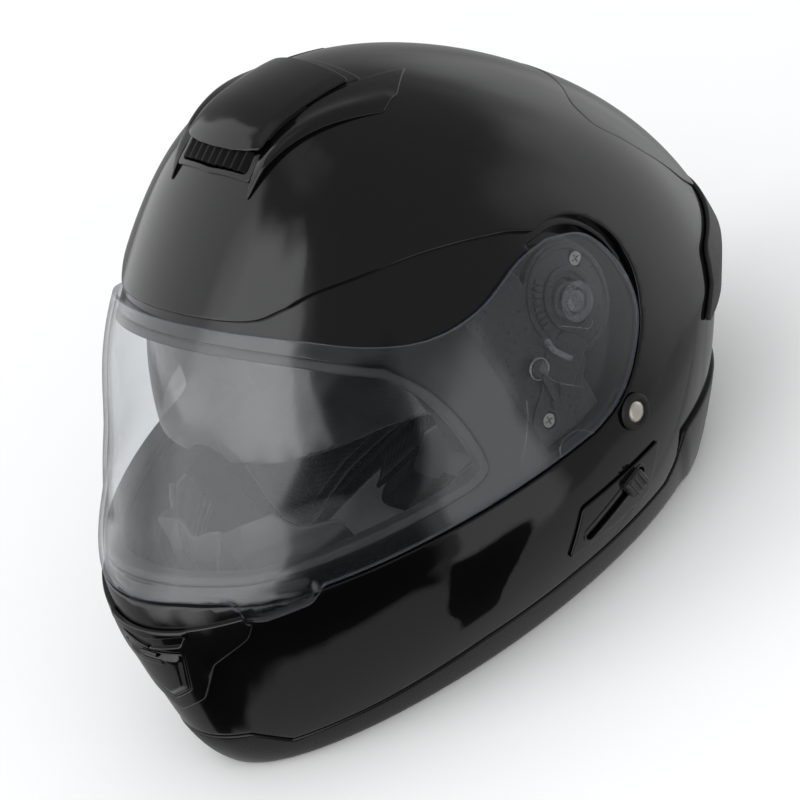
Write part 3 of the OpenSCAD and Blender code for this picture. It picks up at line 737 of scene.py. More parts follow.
MAT = {
    "paint": gloss_paint("shell_paint"),
    "gloss": gloss_paint("gloss_trim", (0.0014, 0.0014, 0.0016), 0.045),
    "cover": gloss_paint("vent_cover_paint", (0.003, 0.003, 0.0032), 0.09),
    "satin": satin("satin_plastic"),
    "satin_fine": satin("mechanism_plastic", (0.02, 0.02, 0.021), 0.33, 700, 0.12),
    "mech": satin("base_plate_plastic", (0.016, 0.016, 0.017), 0.3, 500, 0.08),
    "slat": satin("slat_plastic", (0.003, 0.003, 0.0032), 0.5, 500, 0.1, 0.22),
    "void": satin("dark_duct", (0.002, 0.002, 0.002), 0.8, 300, 0.1, 0.1),
    "rubber": satin("edge_rubber", (0.010, 0.010, 0.010), 0.55, 1500, 0.3, 0.35),
    "seal": satin("seal_rubber", (0.035, 0.035, 0.037), 0.5, 1100, 0.2, 0.4),
    "guard": satin("guard_rubber", (0.05, 0.05, 0.052), 0.45, 1300, 0.25, 0.4),
    "trim": satin("lower_trim", (0.004, 0.004, 0.0045), 0.27, 1200, 0.05, 0.35),
    "foam": foam("eps_foam"),
    "knit": knit("lining_knit"),
    "pad": knit("pad_fabric", (0.022, 0.022, 0.024), 1100, 0.6),
    "piping": knit("piping_cord", (0.035, 0.035, 0.038), 2600, 0.3),
    "webbing": knit("strap_webbing", (0.02, 0.02, 0.021), 2600, 0.25),
    "thread": knit("sewing_thread", (0.06, 0.06, 0.062), 5200, 0.2),
    "visor": clear_plastic("clear_visor", (0.93, 0.94, 0.945), 1.0, 0.006),
    # visor rim: clear plastic with a real mirror reflection; its bluish haze and tint paint the blue
    # highlight line along the edge
    "visor_edge": clear_plastic("visor_rim_painted_highlight", (0.66, 0.67, 0.74), 1.0, 0.07, (0.5, 0.5, 0.62), 0.08),
    # clear mouldings: real clear plastic; the whitish haze paints their bright refraction highlights
    "clear_with_painted_highlight": clear_plastic("moulded_clear_painted_highlight", (0.85, 0.87, 0.89), 2.0, 0.035, (0.85, 0.87, 0.9), 0.05),
    "smoke": clear_plastic("smoked_visor", (0.5, 0.49, 0.49), 1.6, 0.03, (0.35, 0.35, 0.35)),
    "steel": metal("plated_steel"),
    "rivet": metal("rivet_steel", (0.86, 0.82, 0.72), 0.32),
    "red": satin("red_lever", (0.35, 0.01, 0.01), 0.3, 700, 0.08),
}

# ============================================================================
# Shell, trim and the panels on it
# ============================================================================
STEP_DEPTH, POCKET_DEPTH = 3.4, 11.0
TAB = np.array([[-153, 90], [-148, 87.5], [-131, 87.5], [-126, 91], [-126, 97], [-153, 103]], float)


def build_shell():
    P = Parts()
    r = 0.9
    mouth = rounded([[-24, -26.6], [24, -26.6], [23, -13.5], [-23, -13.5]], 3)
    s = cut(sheet_on(0.0, step=1.7), [lambda p: -f_step(p), lambda p: 0.4 - f_trim(p),
                                      lambda p: np.where(p[..., 2] > 200, -sd(p[..., :2], mouth), -50.0)], r)
    P.add(*body_from(s, r, 4.6, close=False))
    s = sheet_on(-STEP_DEPTH, a=(-128, 128), v=band(66, 245), step=1.5)
    s.clip(lambda p: f_step(p) - 2.2)
    cut(s, [lambda p: -f_eye(p), lambda p: -f_pocket(p)], r)
    P.add(*body_from(s, r, 7.8, close=False))
    s = sheet_on(-POCKET_DEPTH, a=(60, 130), v=band(64, 200), step=2)
    s.clip(lambda p: f_pocket(p) - 2)
    P.add(*body_from(s, 0.2, 1.0, close=False), both=True)
    P.make("shell", MAT["paint"], slot="gloss_black_shell", replaces=["outer_shell"])


def build_trim():
    def lift(p, n):
        return 0.6 + 1.4 * step01((p[..., 1] - 60) / 9)

    s = cut(sheet_on(lift, v=(0.0, v_of_z(40)), step=1.5), [f_trim], 0.9)
    v, f = body_from(s, 0.9, 8.6)
    v[:, 2] = np.maximum(v[:, 2], 0.0)
    Parts().add(v, f).make("lower_trim", MAT["trim"], slot="rubber", replaces=["bottom_trim"])


def sag(p):
    """The visor runs nearly straight from top to bottom across the front"""
    c, z = -(p[..., 1] - YM) / FR, p[..., 2]
    return 6.0 * step01((c - 0.26) / 0.44) * step01((z - 102) / 30) * (1 - step01((z - 150) / 42))


def build_seal():
    s = cut(sheet_on(lambda p, n: -3.0 - 0.8 * sag(p), a=(-95, 95), v=band(85, 235), step=1.3),
            [lambda p: f_eye(p) + 0.1, lambda p: -(f_eye(p) + 4.6)], 1.2)
    v, f = body_from(s, 1.2, 9.4)
    Parts().add(v, f).make("eyeport_seal", MAT["seal"], slot="rubber", replaces=["eyeport_seal"])


def build_spoiler():
    def lift(p, n):
        side_fade = 0.25 + 0.75 * step01((66 - np.abs(p[..., 0])) / 16)
        return (np.maximum(n @ np.array([0, 1.7, -2.1]), 0.0) + 0.15) * side_fade

    out = [[-50, 90], [-61, 104], [-66, 135], [-65, 164], [-54, 175], [54, 175], [65, 164], [66, 135],
           [61, 104],
           [50, 90], [34, 87], [-34, 87]]
    s = sheet_on(lift, a=(95, 265), v=band(80, 190), step=1.4)
    s.clip(lambda p: 100 - p[..., 1])
    cut(s, [inside_of(rounded(out, 6), XZ)], 0.7)
    Parts().add(*body_from(s, 0.7, 6.2, close=False)).make(
        "rear_spoiler", MAT["gloss"], slot="gloss_plastic", replaces=["rear_spoiler"])
    hole = [rounded([[16 + i * 8, 66], [21 + i * 8, 66], [21 + i * 8, 80], [16 + i * 8, 80]],
                    2) for i in range(4)]
    fns = [inside_of(rounded([[-102, 62], [-88, 86], [88, 86], [102, 62], [60, 56], [-60, 56]], 4), XZ),
           lambda p: 108 - p[..., 1]]
    for h in hole:
        fns += [outside_of(h, XZ), outside_of(h * [-1, 1], XZ)]
    Parts().add(*slab(fns, 2.6, 2.3, a=(110, 250), v=band(50, 92), step=1.2)).make(
        "rear_vent_insert", MAT["satin"], slot="satin_plastic", replaces=["rear_vent_insert"])


SLIDER = rounded([[-21, 28.5], [-6, 49.5], [49, 45], [34, 25], [28, 24]], 2.5)


def build_slider_panel():
    slot, lip, track = [capsule((-6.5, 33.2), (30.5, 40.3), r) for r in (3.0, 4.4, 3.6)]
    left = [lambda p: 60 - p[..., 0]]
    area = dict(a=(60, 130), v=band(16, 56))
    P = Parts()
    for outline, lift, depth, r in ((SLIDER, 1.5, 1.3, 0.45), (lip, 1.9, 1.5, 0.3)):
        P.add(*slab(left + [inside_of(outline), outside_of(slot)], lift, depth, r=r, step=0.9, **area))
    P.make("slider_panel", MAT["gloss"], slot="gloss_plastic", replaces=["slider_panel"])
    Parts().add(*slab(left + [inside_of(track)], -3.0, 0.8, r=0.2, step=1.5, **area)).make(
        "slider_track", MAT["satin_fine"], slot="satin_plastic")
    # the finger slide
    c = side_pt(26.0, 39.5, 0.0)
    R = rot_x(math.degrees(math.atan2(5.5, 28)))
    T = Parts()
    T.add(*block((6.4, 11.5, 8.6), (0, 0, 0), 1.0))
    for i in range(-1, 2):
        T.add(*block((1.1, 1.2, 8.0), (3.5, i * 3.3, 0), 0.4))
    T.add(*block((11, 4.2, 3.4), (-6, 0, 0), 0.5))
    T.v = [(v @ R.T) + c + np.array([2.9, -1, -0.2]) for v in T.v]
    T.make("sun_visor_slide_knob", MAT["satin_fine"], "sun_visor_slider", "satin_plastic",
           ["sun_visor_slider"])


build_shell()
build_trim()
build_seal()
build_spoiler()
build_slider_panel()

# ---- chin vent ---------------------------------------------------------------
VENT = np.array([[60, 92], [54, 81], [35, 71], [20, 51], [0, 42], [-20, 51], [-35, 71], [-54, 81], [-60, 92]],
                float)
FLAP = np.array([[-22, 79], [22, 79], [14.5, 57], [0, 50], [-14.5, 57]], float)
SLOT = np.array([[-27, 89.5], [0, 87.0], [27, 89.5], [22, 83], [0, 80.6], [-22, 83]], float)


def build_chin():
    def lift(p, n):
        x, z = np.abs(p[..., 0]), p[..., 2]
        lip = step01((z - (82.5 + 0.16 * x)) / 2.5) * step01((30 - x) / 6)
        side = step01((x - 22) / 8) * step01((z - 60) / 10)
        return 1.5 + 1.5 * lip + 0.7 * side

    front = [lambda p: p[..., 1] + 80]
    arc = dict(a=(-60, 60), v=band(36, 98), step=1.0)
    frame_fns = [inside_of(rounded(VENT, 2), XZ), outside_of(rounded(FLAP, 2), XZ, 0.6),
                 outside_of(rounded(SLOT, 1.2), XZ), lambda p: 0.7 - sd(side(p), visor_poly),
                 lambda p: np.where(p[..., 0] > 30, 1.6 - sd(side(p), TAB), -50.0)]
    Parts().add(*slab(front + frame_fns, lift, 2.6, r=0.55, **arc)).make(
        "chin_vent_surround", MAT["gloss"], slot="gloss_plastic", replaces=["chin_vent_surround"])

    def flap_lift(p, n):
        return 1.4 + 1.2 * step01((-sd(p[..., XZ], FLAP) - 1.5) / 2.5)

    Q = Parts()
    Q.add(*slab(front + [inside_of(rounded(FLAP - [0, 0.1], 2) * 0.995 + [0, 0.3], XZ)], flap_lift, 2.2,
                r=0.5, **arc))
    Q.add(*slab(front + [inside_of(rounded([[-9, 73], [9, 73], [8, 75.6], [-8, 75.6]], 1), XZ)], 3.3, 1.2,
                r=0.4,
                a=(-20, 20), v=band(68, 80), step=0.8))
    Q.add(*tube([[-6, -178.7, 77.9], [6, -178.7, 77.9]], 1.1, 20))
    Q.make("chin_vent_flap", MAT["gloss"], "chin_vent_flap", "gloss_plastic", ["chin_vent_flap"])
    G = Parts()
    for count, low, high, fn, rows, step in ((4, 81, 88.4, inside_of(SLOT, XZ), band(78, 92), 0.8),
                                             (3, 52, 77, lambda p: sd(p[..., XZ], FLAP) + 3.4, band(48, 80),
                                              1.2)):
        for x in range(-count * 5, count * 5 + 1, 5):
            slat = [[x - 0.8, low], [x + 0.8, low], [x + 0.8, high], [x - 0.8, high]]
            G.add(*slab(front + [inside_of(slat, XZ), fn], -1.6, 2.0, r=0.25, a=(-20, 20), v=rows, step=step))
    G.make("chin_vent_grille", MAT["satin"], slot="satin_plastic", replaces=["chin_vent_grille"])


build_chin()

# ---- crown vent ----------------------------------------------------------------
WING = np.array([[29, -37], [33, -22], [52, 38], [46, 52], [30, 71], [29.5, 47], [25.5, -10]], float)
COVER = np.array([[-27.6, -15.5], [-22, -18.6], [-12, -21], [0, -21.8], [12, -21], [22, -18.6], [27.6, -15.5],
                  [29, 10], [29.4, 42], [-29.4, 42], [-29, 10]], float)


def build_crown_vent():
    ridge = np.array([[29.5, -31], [31.5, -14], [44, 35], [46, 46]], float)

    def wing_lift(x, y):
        q = np.stack([np.abs(x), y], -1)
        d = np.full(x.shape, 1e9)
        for a, b in zip(ridge[:-1], ridge[1:]):
            e, w = b - a, q - a
            t = np.clip((w @ e) / (e @ e), 0, 1)
            d = np.minimum(d, np.hypot(w[..., 0] - e[0] * t, w[..., 1] - e[1] * t))
        rise = step01((y + 38) / 22) * (1 - 0.9 * step01((y - 12) / 52))  # the ridge fades out rearwards
        return 0.7 - 0.4 * step01((y - 8) / 30) + 2.3 * rise * np.exp(-((d / 4.5) ** 2)) + 0.4 * rise

    P = Parts()
    w = rounded(WING, 1.2)
    P.add(*slab([inside_of(w, XY)], wing_lift, 5.0, top=((20, 58), (-42, 76)), r=0.5, step=0.9, close=False),
          both=True)
    mid = rounded([[-27.5, -28.8], [0, -31.0], [27.5, -28.8], [29.2, 20], [29.2, 48], [-29.2, 48],
                   [-29.2, 20]], 2)
    mouth = rounded([[-24, -26.2], [0, -28.4], [24, -26.2], [23, -13], [-23, -13]], 2.5)
    P.add(*slab([inside_of(mid, XY), outside_of(mouth, XY)], lambda x,
                y: 0.5 + 1.2 * (1 - step01((y + 14) / 14)), 4.5,
                top=((-32, 32), (-33, 50)), r=0.6, step=1.1, close=False))
    P.make("crown_vent_housing", MAT["gloss"], slot="gloss_plastic", replaces=["top_vent_housing"])

    def cover_lift(x, y):
        front = step01((-y - 10) / 12)
        return (5.6 - 2.2 * step01((y + 16) / 50) - 0.5 * (x / 27.0) ** 2 - 0.7 * front
                - 0.9 * step01((np.abs(x) - 21.5) / 7) * (1 - 0.6 * step01((y - 10) / 30)))

    c = rounded(COVER, 1.8)
    C = Parts()
    area = ((-32, 32), (-25, 45))
    C.add(*slab([inside_of(c, XY)], cover_lift, 1.6, top=area, r=0.7, step=1.0))
    skirt = [inside_of(c, XY), lambda p: -(sd(p[..., :2], c) + 2.3), lambda p: -9.0 - p[..., 1],
             lambda p: p[..., 1] - 16.0]
    C.add(*slab(skirt, lambda x, y: cover_lift(x, y) - 1.1, 1.4, top=area, r=0.3, step=1.0))
    C.make("crown_vent_cover", MAT["cover"], "top_vent_cover", "gloss_plastic", ["top_vent_cover"])

    G = Parts()
    for i in range(-4, 5):
        x0 = i * 5.0
        y0 = -26.6 + 0.06 * abs(x0)
        prof = [(x0 - 0.5, 3.7), (x0 + 1.9, 1.2), (x0 - 0.5, -2.6), (x0 + 0.7, -2.6), (x0 + 3.1, 1.2),
                (x0 + 0.7, 3.7)]
        rows = []
        xs = np.array([q[0] for q in prof])
        for yy, narrow in ((y0, 0.7), (y0 + 0.5, 1), (y0 + 9.5, 1)):
            rows.append(top_pts(xs.mean() + (xs - xs.mean()) * narrow, np.full(6, yy),
                                np.array([q[1] for q in prof]))[0])
        ends = [[0, 1, 4, 5], [1, 2, 3, 4], [17, 16, 13, 12], [16, 15, 14, 13]]
        G.add(np.vstack(rows), ends + strips(3, 6)[:-2])
    pit = np.array([[-24.5, -28.5], [24.5, -28.5], [24.5, -12], [-24.5, -12]], float)
    G.add(*slab([inside_of(pit, XY)], lambda x, y: -4.5 + 0 * x, 1.0, top=((-27, 27), (-31, -10)), r=0.2,
                step=1.5), 1)
    wall = [[-24.5, -14.5], [24.5, -14.5], [24.5, -12.5], [-24.5, -12.5]]
    G.add(*slab([inside_of(wall, XY)], lambda x, y: 3.4 + 0 * x, 8.0, top=((-27, 27), (-17, -10)), r=0.2,
                step=1.5), 1)
    G.make("crown_vent_grille", [MAT["slat"], MAT["void"]], slot="satin_plastic",
           replaces=["top_vent_grille"],
           sharp=30)


build_crown_vent()

# ============================================================================
# Visor and its mechanism
# ============================================================================
def proud(p):
    c = np.clip(-(p[..., 1] - YM) / FR, 0, 1)
    return 1.8 * c * np.clip((p[..., 2] - 95) / 80, 0, 1)


def build_visor():
    def lift(p, n):
        g = sd(side(p), TAB)
        w = np.clip(0.5 - g / 5, 0, 1) * (p[..., 0] > 0)
        return proud(p) - sag(p) + 2.4 * step01(w)

    V = Parts()
    s = cut(sheet_on(lift, a=(-125, 125), v=band(70, 236), step=1.5), [f_visor], 0.7)
    v, f = body_from(s, 0.7, 2.2)
    # the rolled rim and wall faces take the rim material, whose bluish haze and tint paint a highlight line
    V.add(v, f, [1 if t == 1 else 0 for t in body_from.tags])
    V.make("clear_visor", [MAT["visor"], MAT["visor_edge"]], "visor", "clear_visor", ["visor"])

    # moulded features on the inner face of each ear: hub ring, cam finger, detent stud and fine edges; their
    # clear material's whitish haze paints their bright highlights
    K = Parts()
    c = side_pt(PIV[0], PIV[1], 0.0)
    hub = [(-7.5, 7.4), (-7.5, 9.2), (-2.6, 9.3), (-1.9, 9.6), (-1.9, 6.6), (-2.3, 6.2), (-6.0, 6.0)]
    v, f = lathe(hub, c, (1, 0.08, 0.05), 64)
    K.add(v, f[:-2], both=True)
    K.add(*lathe([(-6.4, 0.1), (-6.4, 5.2), (-3.2, 5.2), (-2.9, 4.8), (-2.9, 0.1)], c, (1, 0.08, 0.05), 48),
          both=True)
    finger = spline([(24.0, 128.0), (24.2, 121.5), (27.5, 115.0), (30.0, 111.5)], 6)
    K.add(*tube(side_pt(finger[:, 0], finger[:, 1], -4.6), 1.5, 12), both=True)
    K.add(*lathe([(-7.4, 0.1), (-7.4, 2.6), (-6.9, 3.1), (-3.4, 3.1), (-2.7, 2.4), (-2.7, 0.1)],
                 side_pt(14.4, 118.1, 0.0),
                 (1, 0.02, 0.02), 32), both=True)
    K.make("visor_ear_features", MAT["clear_with_painted_highlight"], "visor", "clear_visor")
    # fine mould lines in the same clear material, whose whitish haze paints their highlights
    L = Parts()
    lines = [[(23.7, 126.0), (30, 129.5), (34.7, 126.4), (40.2, 121.1), (44.7, 117.4), (48.7, 119.1)],
             [(10.9, 118.1), (12.7, 112.7), (18.2, 105.6), (25.5, 97.7)],
             [(-3.7, 79.9), (-2, 84), (2.8, 86.2), (9, 85.2), (12.9, 82.3), (17.5, 76.4)],
             [(75.2, 139.8), (77.3, 130.0), (77.0, 121.0), (80.2, 118.0)],
             [(-4.1, 114.7), (-9, 106), (-23.0, 90.5)]]
    for q in lines:
        q = spline(q, 6)
        L.add(*tube(side_pt(q[:, 0], q[:, 1], -0.12), 0.16, 6), both=True)
    L.make("visor_mould_lines", MAT["clear_with_painted_highlight"], "visor", "clear_visor")


def build_base_plate():
    P = Parts()
    far = dict(a=(66, 124), v=band(80, 172))
    left = [lambda p: 50 - p[..., 0]]
    plate = lambda p: np.maximum(f_pocket(p) + 0.9, np.minimum(p[..., 1] - 32, side_dist(p, PIV) - 26))
    hole = lambda p: 9.7 - side_dist(p, PIV)
    screws = [lambda p, c=c: 4.1 - side_dist(p, c) for c in ((4, 94), (64, 140))]
    P.add(*slab(left + [plate, hole] + screws, -8.2, 2.3, r=0.4, step=1.1, **far), both=True)
    # ring walls round the hub; the outer one dips where the open visor's ear passes over it
    dip = lambda p, n: -7.0 - 1.3 * np.exp(-(side_dist(p, (60, 109.5)) / 11) ** 2)
    for r0, r1, h in ((15.2, 12.6, -6.4), (24.6, 22.6, dip)):
        ring = [lambda p: side_dist(p, PIV) - r0, lambda p: r1 - side_dist(p, PIV)]
        P.add(*slab(left + ring, h, 2.2, r=0.35, step=0.9, **far), both=True)
    # arm that runs down to the lower screw
    arm = np.vstack([spline([(44, 108), (31, 103), (18, 94), (9, 87.5), (1, 85.6), (-4.6, 89.5), (-5.6, 95.5),
                             (-1.0, 102),
                             (8, 108), (17, 116), (24, 123)], 6), [(36, 122)]])
    P.add(*slab(left + [inside_of(arm)] + screws + [outside_of(capsule((15.5, 104.0), (11.2, 98.2), 2.5))],
                -7.0, 1.8, r=0.5,
                step=0.8, **far), both=True)
    pad = rounded([(34.5, 116.5), (39.5, 103), (30, 96.5), (19.8, 89.6), (16.4, 92.0), (19.5, 98.5),
                   (27.5, 108)], 3.5)
    P.add(*slab(left + [inside_of(pad)], -8.0, 1.6, r=0.5, step=0.8, **far), both=True)
    for t in range(118, 182, 9):
        a0 = math.radians(t)
        u, w = np.array([math.cos(a0), math.sin(a0)]), np.array([-math.sin(a0), math.cos(a0)])
        q = [PIV + u * along + w * across for along,
             across in ((16.5, 1.1), (21.5, 1.1), (21.5, -1.1), (16.5, -1.1))]
        P.add(*slab(left + [inside_of(q)], -6.6, 1.8, r=0.25, step=0.9, **far), both=True)
    P.make("visor_base_plates", MAT["mech"], slot="satin_plastic",
           replaces=["base_plate_left", "base_plate_right"])


def build_levers():
    for sgn, name in ((1, "left"), (-1, "right")):
        L = Parts()
        c = np.array([side_pt(12.0, 96.0, -7.9)[0], 12.0, 119.0])
        L.add(*lathe([(0.35, 2.1), (0.35, 3.8), (0.7, 4.2), (1.6, 4.2), (2.0, 3.8), (2.0, 2.1)], c, (1, 0, 0),
                     40))
        L.add(*lathe([(-4.5, 0.1), (-4.5, 1.7), (-4.2, 1.95), (1.85, 1.95), (2.15, 1.6), (2.15, 0.1)], c,
                     (1, 0, 0), 32))
        L.add(*block((1.6, 3.4, 14.5), c + [1.15, 0.1, -13.2], 0.45))
        L.add(*block((0.5, 3.4, 5.0), c + [1.75, 0.1, -5.0], 0.15))
        L.add(*block((1.7, 6.4, 5.0), c + [1.2, 0, -20.5], 0.5))
        for k in range(3):
            L.add(*block((0.4, 5.4, 0.6), c + [2.05, 0, -22 + k * 1.5], 0.15))
        if sgn < 0:
            L.v = [v * [-1, 1, 1] for v in L.v]
        L.make("visor_lever_" + name, MAT["satin_fine"], "release_lever_" + name, "satin_plastic",
               ["release_lever_" + name])


def build_sun_visor():
    R0, W0, E = 146.0, 96.0, 0.77
    cy, cz = 40.0, 104.0

    def pos(uv):
        t, ph = uv[..., 0], uv[..., 1]
        ct, st = np.abs(np.cos(t)) ** E, np.sign(np.sin(t)) * np.abs(np.sin(t)) ** E
        r = R0 * ct
        return np.stack([W0 * st, cy - r * np.cos(ph), cz + r * np.sin(ph)], -1)

    def surf(uv):
        p = pos(uv)
        e = 1e-3
        dt = pos(uv + [e, 0]) - pos(uv - [e, 0])
        dp = pos(uv + [0, e]) - pos(uv - [0, e])
        n = unit(np.cross(dp, dt))
        out = p - np.array([0, cy, cz])
        n *= np.where((n * out).sum(-1, keepdims=True) < 0, -1, 1)
        return p, n

    poly = np.vstack([spline([[-160, 135], [-70, 133.5], [-40, 127], [-8, 110], [18, 96], [34, 92],
                              [46, 93.5], [52, 102],
                              [48, 113], [20, 130], [0, 136.5], [-22, 148], [-50, 188], [-62, 208],
                              [-66, 244]], 5), [[-160, 244]]])
    t = np.radians(np.concatenate([np.linspace(-86, -40, 46), np.linspace(-39, 39, 100),
                                   np.linspace(40, 86, 46)]))
    s = Sheet(surf, t, np.radians(np.linspace(-25, 80, 150)))
    nose = lambda p: np.where(p[..., 1] < -20, 24.5 - np.hypot(p[..., 0], p[..., 2] - 116), -50.0)
    pin = lambda p: 3.1 - np.hypot(p[..., 1] - cy, p[..., 2] - cz)
    cut(s, [inside_of(poly), lambda p: p[..., 2] - 201.5, nose, pin], 0.5)
    v, f = body_from(s, 0.5, 2.0)
    Parts().add(v, f).make("sun_visor_lens", MAT["smoke"], "sun_visor", "smoked_visor", ["sun_visor"])


build_visor()
build_base_plate()
build_levers()
build_sun_visor()

# ============================================================================
# Lining
# ============================================================================
# the space for the head: half width, reach to the front and back, centre and height
HEAD = dict(w=80.0, f=101.0, b=108.0, y=13.0, h=222.0)


def head_pt(a, z, g):
    H = HEAD
    u = np.clip((z - 130) / (H["h"] - g - 130), 0, 1)
    v = np.maximum((130 - z) / 130, 0)
    c = np.sqrt(np.clip(1 - u * u, 0, 1))
    k = np.where(np.cos(a) > 0, H["f"] - g, H["b"] - g - 24 * v ** 1.5)
    return np.stack([(H["w"] - g - 5 * v * v) * c * np.sin(a), H["y"] - k * c * np.cos(a), z + 0 * a], -1)


def head_sheet(g, a, s, step=2.0):
    """Sheet facing the head. Row value s: height below 130, then an angle up to the top"""
    def zz(q):
        return np.where(q < 0, 130 + q, 130 + (HEAD["h"] - 6 - 130) * np.sin(np.clip(q, 0, 140) / 90))

    def pos(uv, gg):
        return head_pt(uv[..., 0], zz(uv[..., 1]), gg)

    def surf(uv):
        e = 1e-3
        c = uv.copy()
        c[..., 1] = np.clip(c[..., 1], -200, 138)
        da = pos(c + [e, 0], 6) - pos(c - [e, 0], 6)
        dz = pos(c + [0, 1.0], 6) - pos(c - [0, 1.0], 6)
        n = unit(np.cross(dz, da))
        p = pos(uv, 6.0)
        inward = np.array([0, 13, 120]) - p
        n *= np.where((n * inward).sum(-1, keepdims=True) < 0, -1, 1)
        gg = g(p) if callable(g) else g
        return p + n * (np.asarray(gg) - 6.0)[..., None], n
    na = int(abs(a[1] - a[0]) * 1.9 / step)
    return Sheet(surf, np.radians(np.linspace(a[0], a[1], na + 1)),
                 np.linspace(s[0], s[1], int((s[1] - s[0]) / step) + 1))


def puff(v, f, cap, voxel=4.5, pressure=4.0, frames=20):
    """Blow a closed form up as cloth under pressure, by cap at most, then even it out and subdivide it"""
    me = bpy.data.meshes.new("puff")
    me.from_pydata((np.asarray(v) * MM).tolist(), [], f)
    bm = bmesh.new()
    bm.from_mesh(me)
    bmesh.ops.remove_doubles(bm, verts=bm.verts, dist=1e-5)
    bmesh.ops.recalc_face_normals(bm, faces=bm.faces)
    bm.to_mesh(me)
    bm.free()
    ob = add_object("puff", me)

    def bake():
        dg = bpy.context.evaluated_depsgraph_get()
        dg.update()
        return bpy.data.meshes.new_from_object(ob.evaluated_get(dg))

    rm = ob.modifiers.new("remesh", "REMESH")
    rm.mode = "VOXEL"
    rm.voxel_size = voxel * MM
    new = bake()
    ob.modifiers.clear()
    ob.data = new
    rest = np.array([q.co[:] for q in ob.data.vertices])
    cl = ob.modifiers.new("cloth", "CLOTH")
    cl.settings.use_pressure = True
    cl.settings.uniform_pressure_force = pressure
    cl.settings.effector_weights.gravity = 0
    cl.settings.quality = 5
    cl.settings.tension_stiffness = 12
    cl.settings.compression_stiffness = 12
    cl.point_cache.frame_start = 1
    cl.point_cache.frame_end = frames
    sc = bpy.context.scene
    for k in range(1, frames + 1):
        sc.frame_set(k)
    new = bake()
    ob.modifiers.clear()
    sc.frame_set(1)
    co = np.array([q.co[:] for q in new.vertices])
    d = co - rest
    length = np.linalg.norm(d, axis=1, keepdims=True)
    d *= np.minimum(1, cap * MM / np.maximum(length, 1e-9))
    ob.data = new
    ob.data.vertices.foreach_set("co", (rest + d).reshape(-1))
    sm = ob.modifiers.new("even", "SMOOTH")
    sm.iterations = 4
    sm.factor = 0.5
    sb = ob.modifiers.new("fine", "SUBSURF")
    sb.levels = 1
    new = bake()
    co = np.array([q.co[:] for q in new.vertices]) / MM
    faces = [list(q.vertices) for q in new.polygons]
    bpy.data.objects.remove(ob)
    return co, faces


def head_x(y, z, g):
    v = np.maximum((130 - z) / 130, 0)
    k = np.where(y < HEAD["y"], HEAD["f"] - g, HEAD["b"] - g - 24 * v ** 1.5)
    c = np.clip((y - HEAD["y"]) / k, -1, 1)
    return (HEAD["w"] - g - 5 * v * v) * np.sqrt(np.clip(1 - c * c, 0, 1))


PAD = rounded([[-50, 17], [62, 17], [69, 56], [68, 87.5], [-24, 87.5], [-48, 79]], 14, 6)


def build_cheek_pads():
    def flat(uv):
        return np.stack([0 * uv[..., 0], uv[..., 0], uv[..., 1]], -1), np.broadcast_to([-1.0, 0, 0],
                (*uv.shape[:-1], 3))

    s = Sheet(flat, np.linspace(-52, 71, 42), np.linspace(15, 90, 26))
    cut(s, [lambda p: sd(side(p), PAD) + 2.0], 8.0)
    v, f = body_from(s, 8.0, 24.0, steps=4)
    w = v[:, 0] / 24.0
    y, z = v[:, 1], v[:, 2]
    xi = head_x(y, z, 7.0) + 3.5
    xo = half_width(y, z) - 21.0
    v = np.stack([xi + w * (xo - xi), y, z], -1)
    v, f = puff(v, f, cap=4.5)
    # sewn channel and piping line after the simulation
    d = sd(v[:, 1:], PAD)
    x0 = head_x(v[:, 1], v[:, 2], 7.0)
    faces_head = np.clip(1 - (v[:, 0] - x0 - 6) / 12, 0, 1)
    seam = np.exp(-(((d + 15) / 1.6) ** 2)) + 0.9 * np.exp(-((((v[:, 1] - 8) * 0.9 + (v[:,
            2] - 52) * 0.45) / 1.7) ** 2)) * (d < -15)
    v[:, 0] += faces_head * 2.6 * np.clip(seam, 0, 1)
    v[:, 0] = np.minimum(v[:, 0], half_width(v[:, 1], v[:, 2]) - 17.9)
    for sgn, name in ((1, "left"), (-1, "right")):
        Parts().add(v * [sgn, 1, 1], [list(reversed(q)) for q in f] if sgn < 0 else f).make(
            "cheek_pad_" + name, MAT["pad"], slot="lining_fabric", replaces=["cheek_pad_" + name], sharp=180)
    # piping round the seam
    inner = PAD[::2] + unit(PAD.mean(0) - PAD[::2], 0) * 15.5
    x = head_x(inner[:, 0], inner[:, 1], 7.0) + 1.2
    for sgn, name in ((1, "left"), (-1, "right")):
        Parts().add(*tube(np.stack([sgn * x, inner[:, 0], inner[:, 1]], -1), 0.9, 8, closed=True)).make(
            "cheek_pad_piping_" + name, MAT["piping"], slot="lining_fabric")


def build_crown():
    def g(p):
        x, y, z = p[..., 0], p[..., 1], p[..., 2]
        lines = [np.abs(np.abs(x) - 24) / 1.0, np.abs(y + 20) / 1.2 + 1e3 * (z < 150),
                 np.abs(y - 62) / 1.2 + 1e3 * (z < 150),
                 np.abs(z - 150) / 1.3]
        q = sum(np.exp(-((d / 2.2) ** 2)) for d in lines)
        crown = 1.2 * np.sin(np.abs(x) / 24 * math.pi / 2) ** 2 * (np.abs(x) < 48)
        return 6.6 - 2.6 * np.clip(q, 0, 1) - 0.4 * crown

    s = head_sheet(g, (-175, 185), (-80, 138), 2.0)
    poly = rounded([[-106, 175], [-64, 171], [-34, 146], [-22, 99], [74, 99], [78, 52], [160, 52], [160, 236],
                    [-106, 236]], 10)
    cut(s, [inside_of(poly)], 2.4)
    v, f = body_from(s, 2.4, 5.6, steps=3)
    Parts().add(v, f).make("crown_lining", MAT["knit"], slot="lining_fabric", replaces=["crown_liner"],
                           sharp=180)


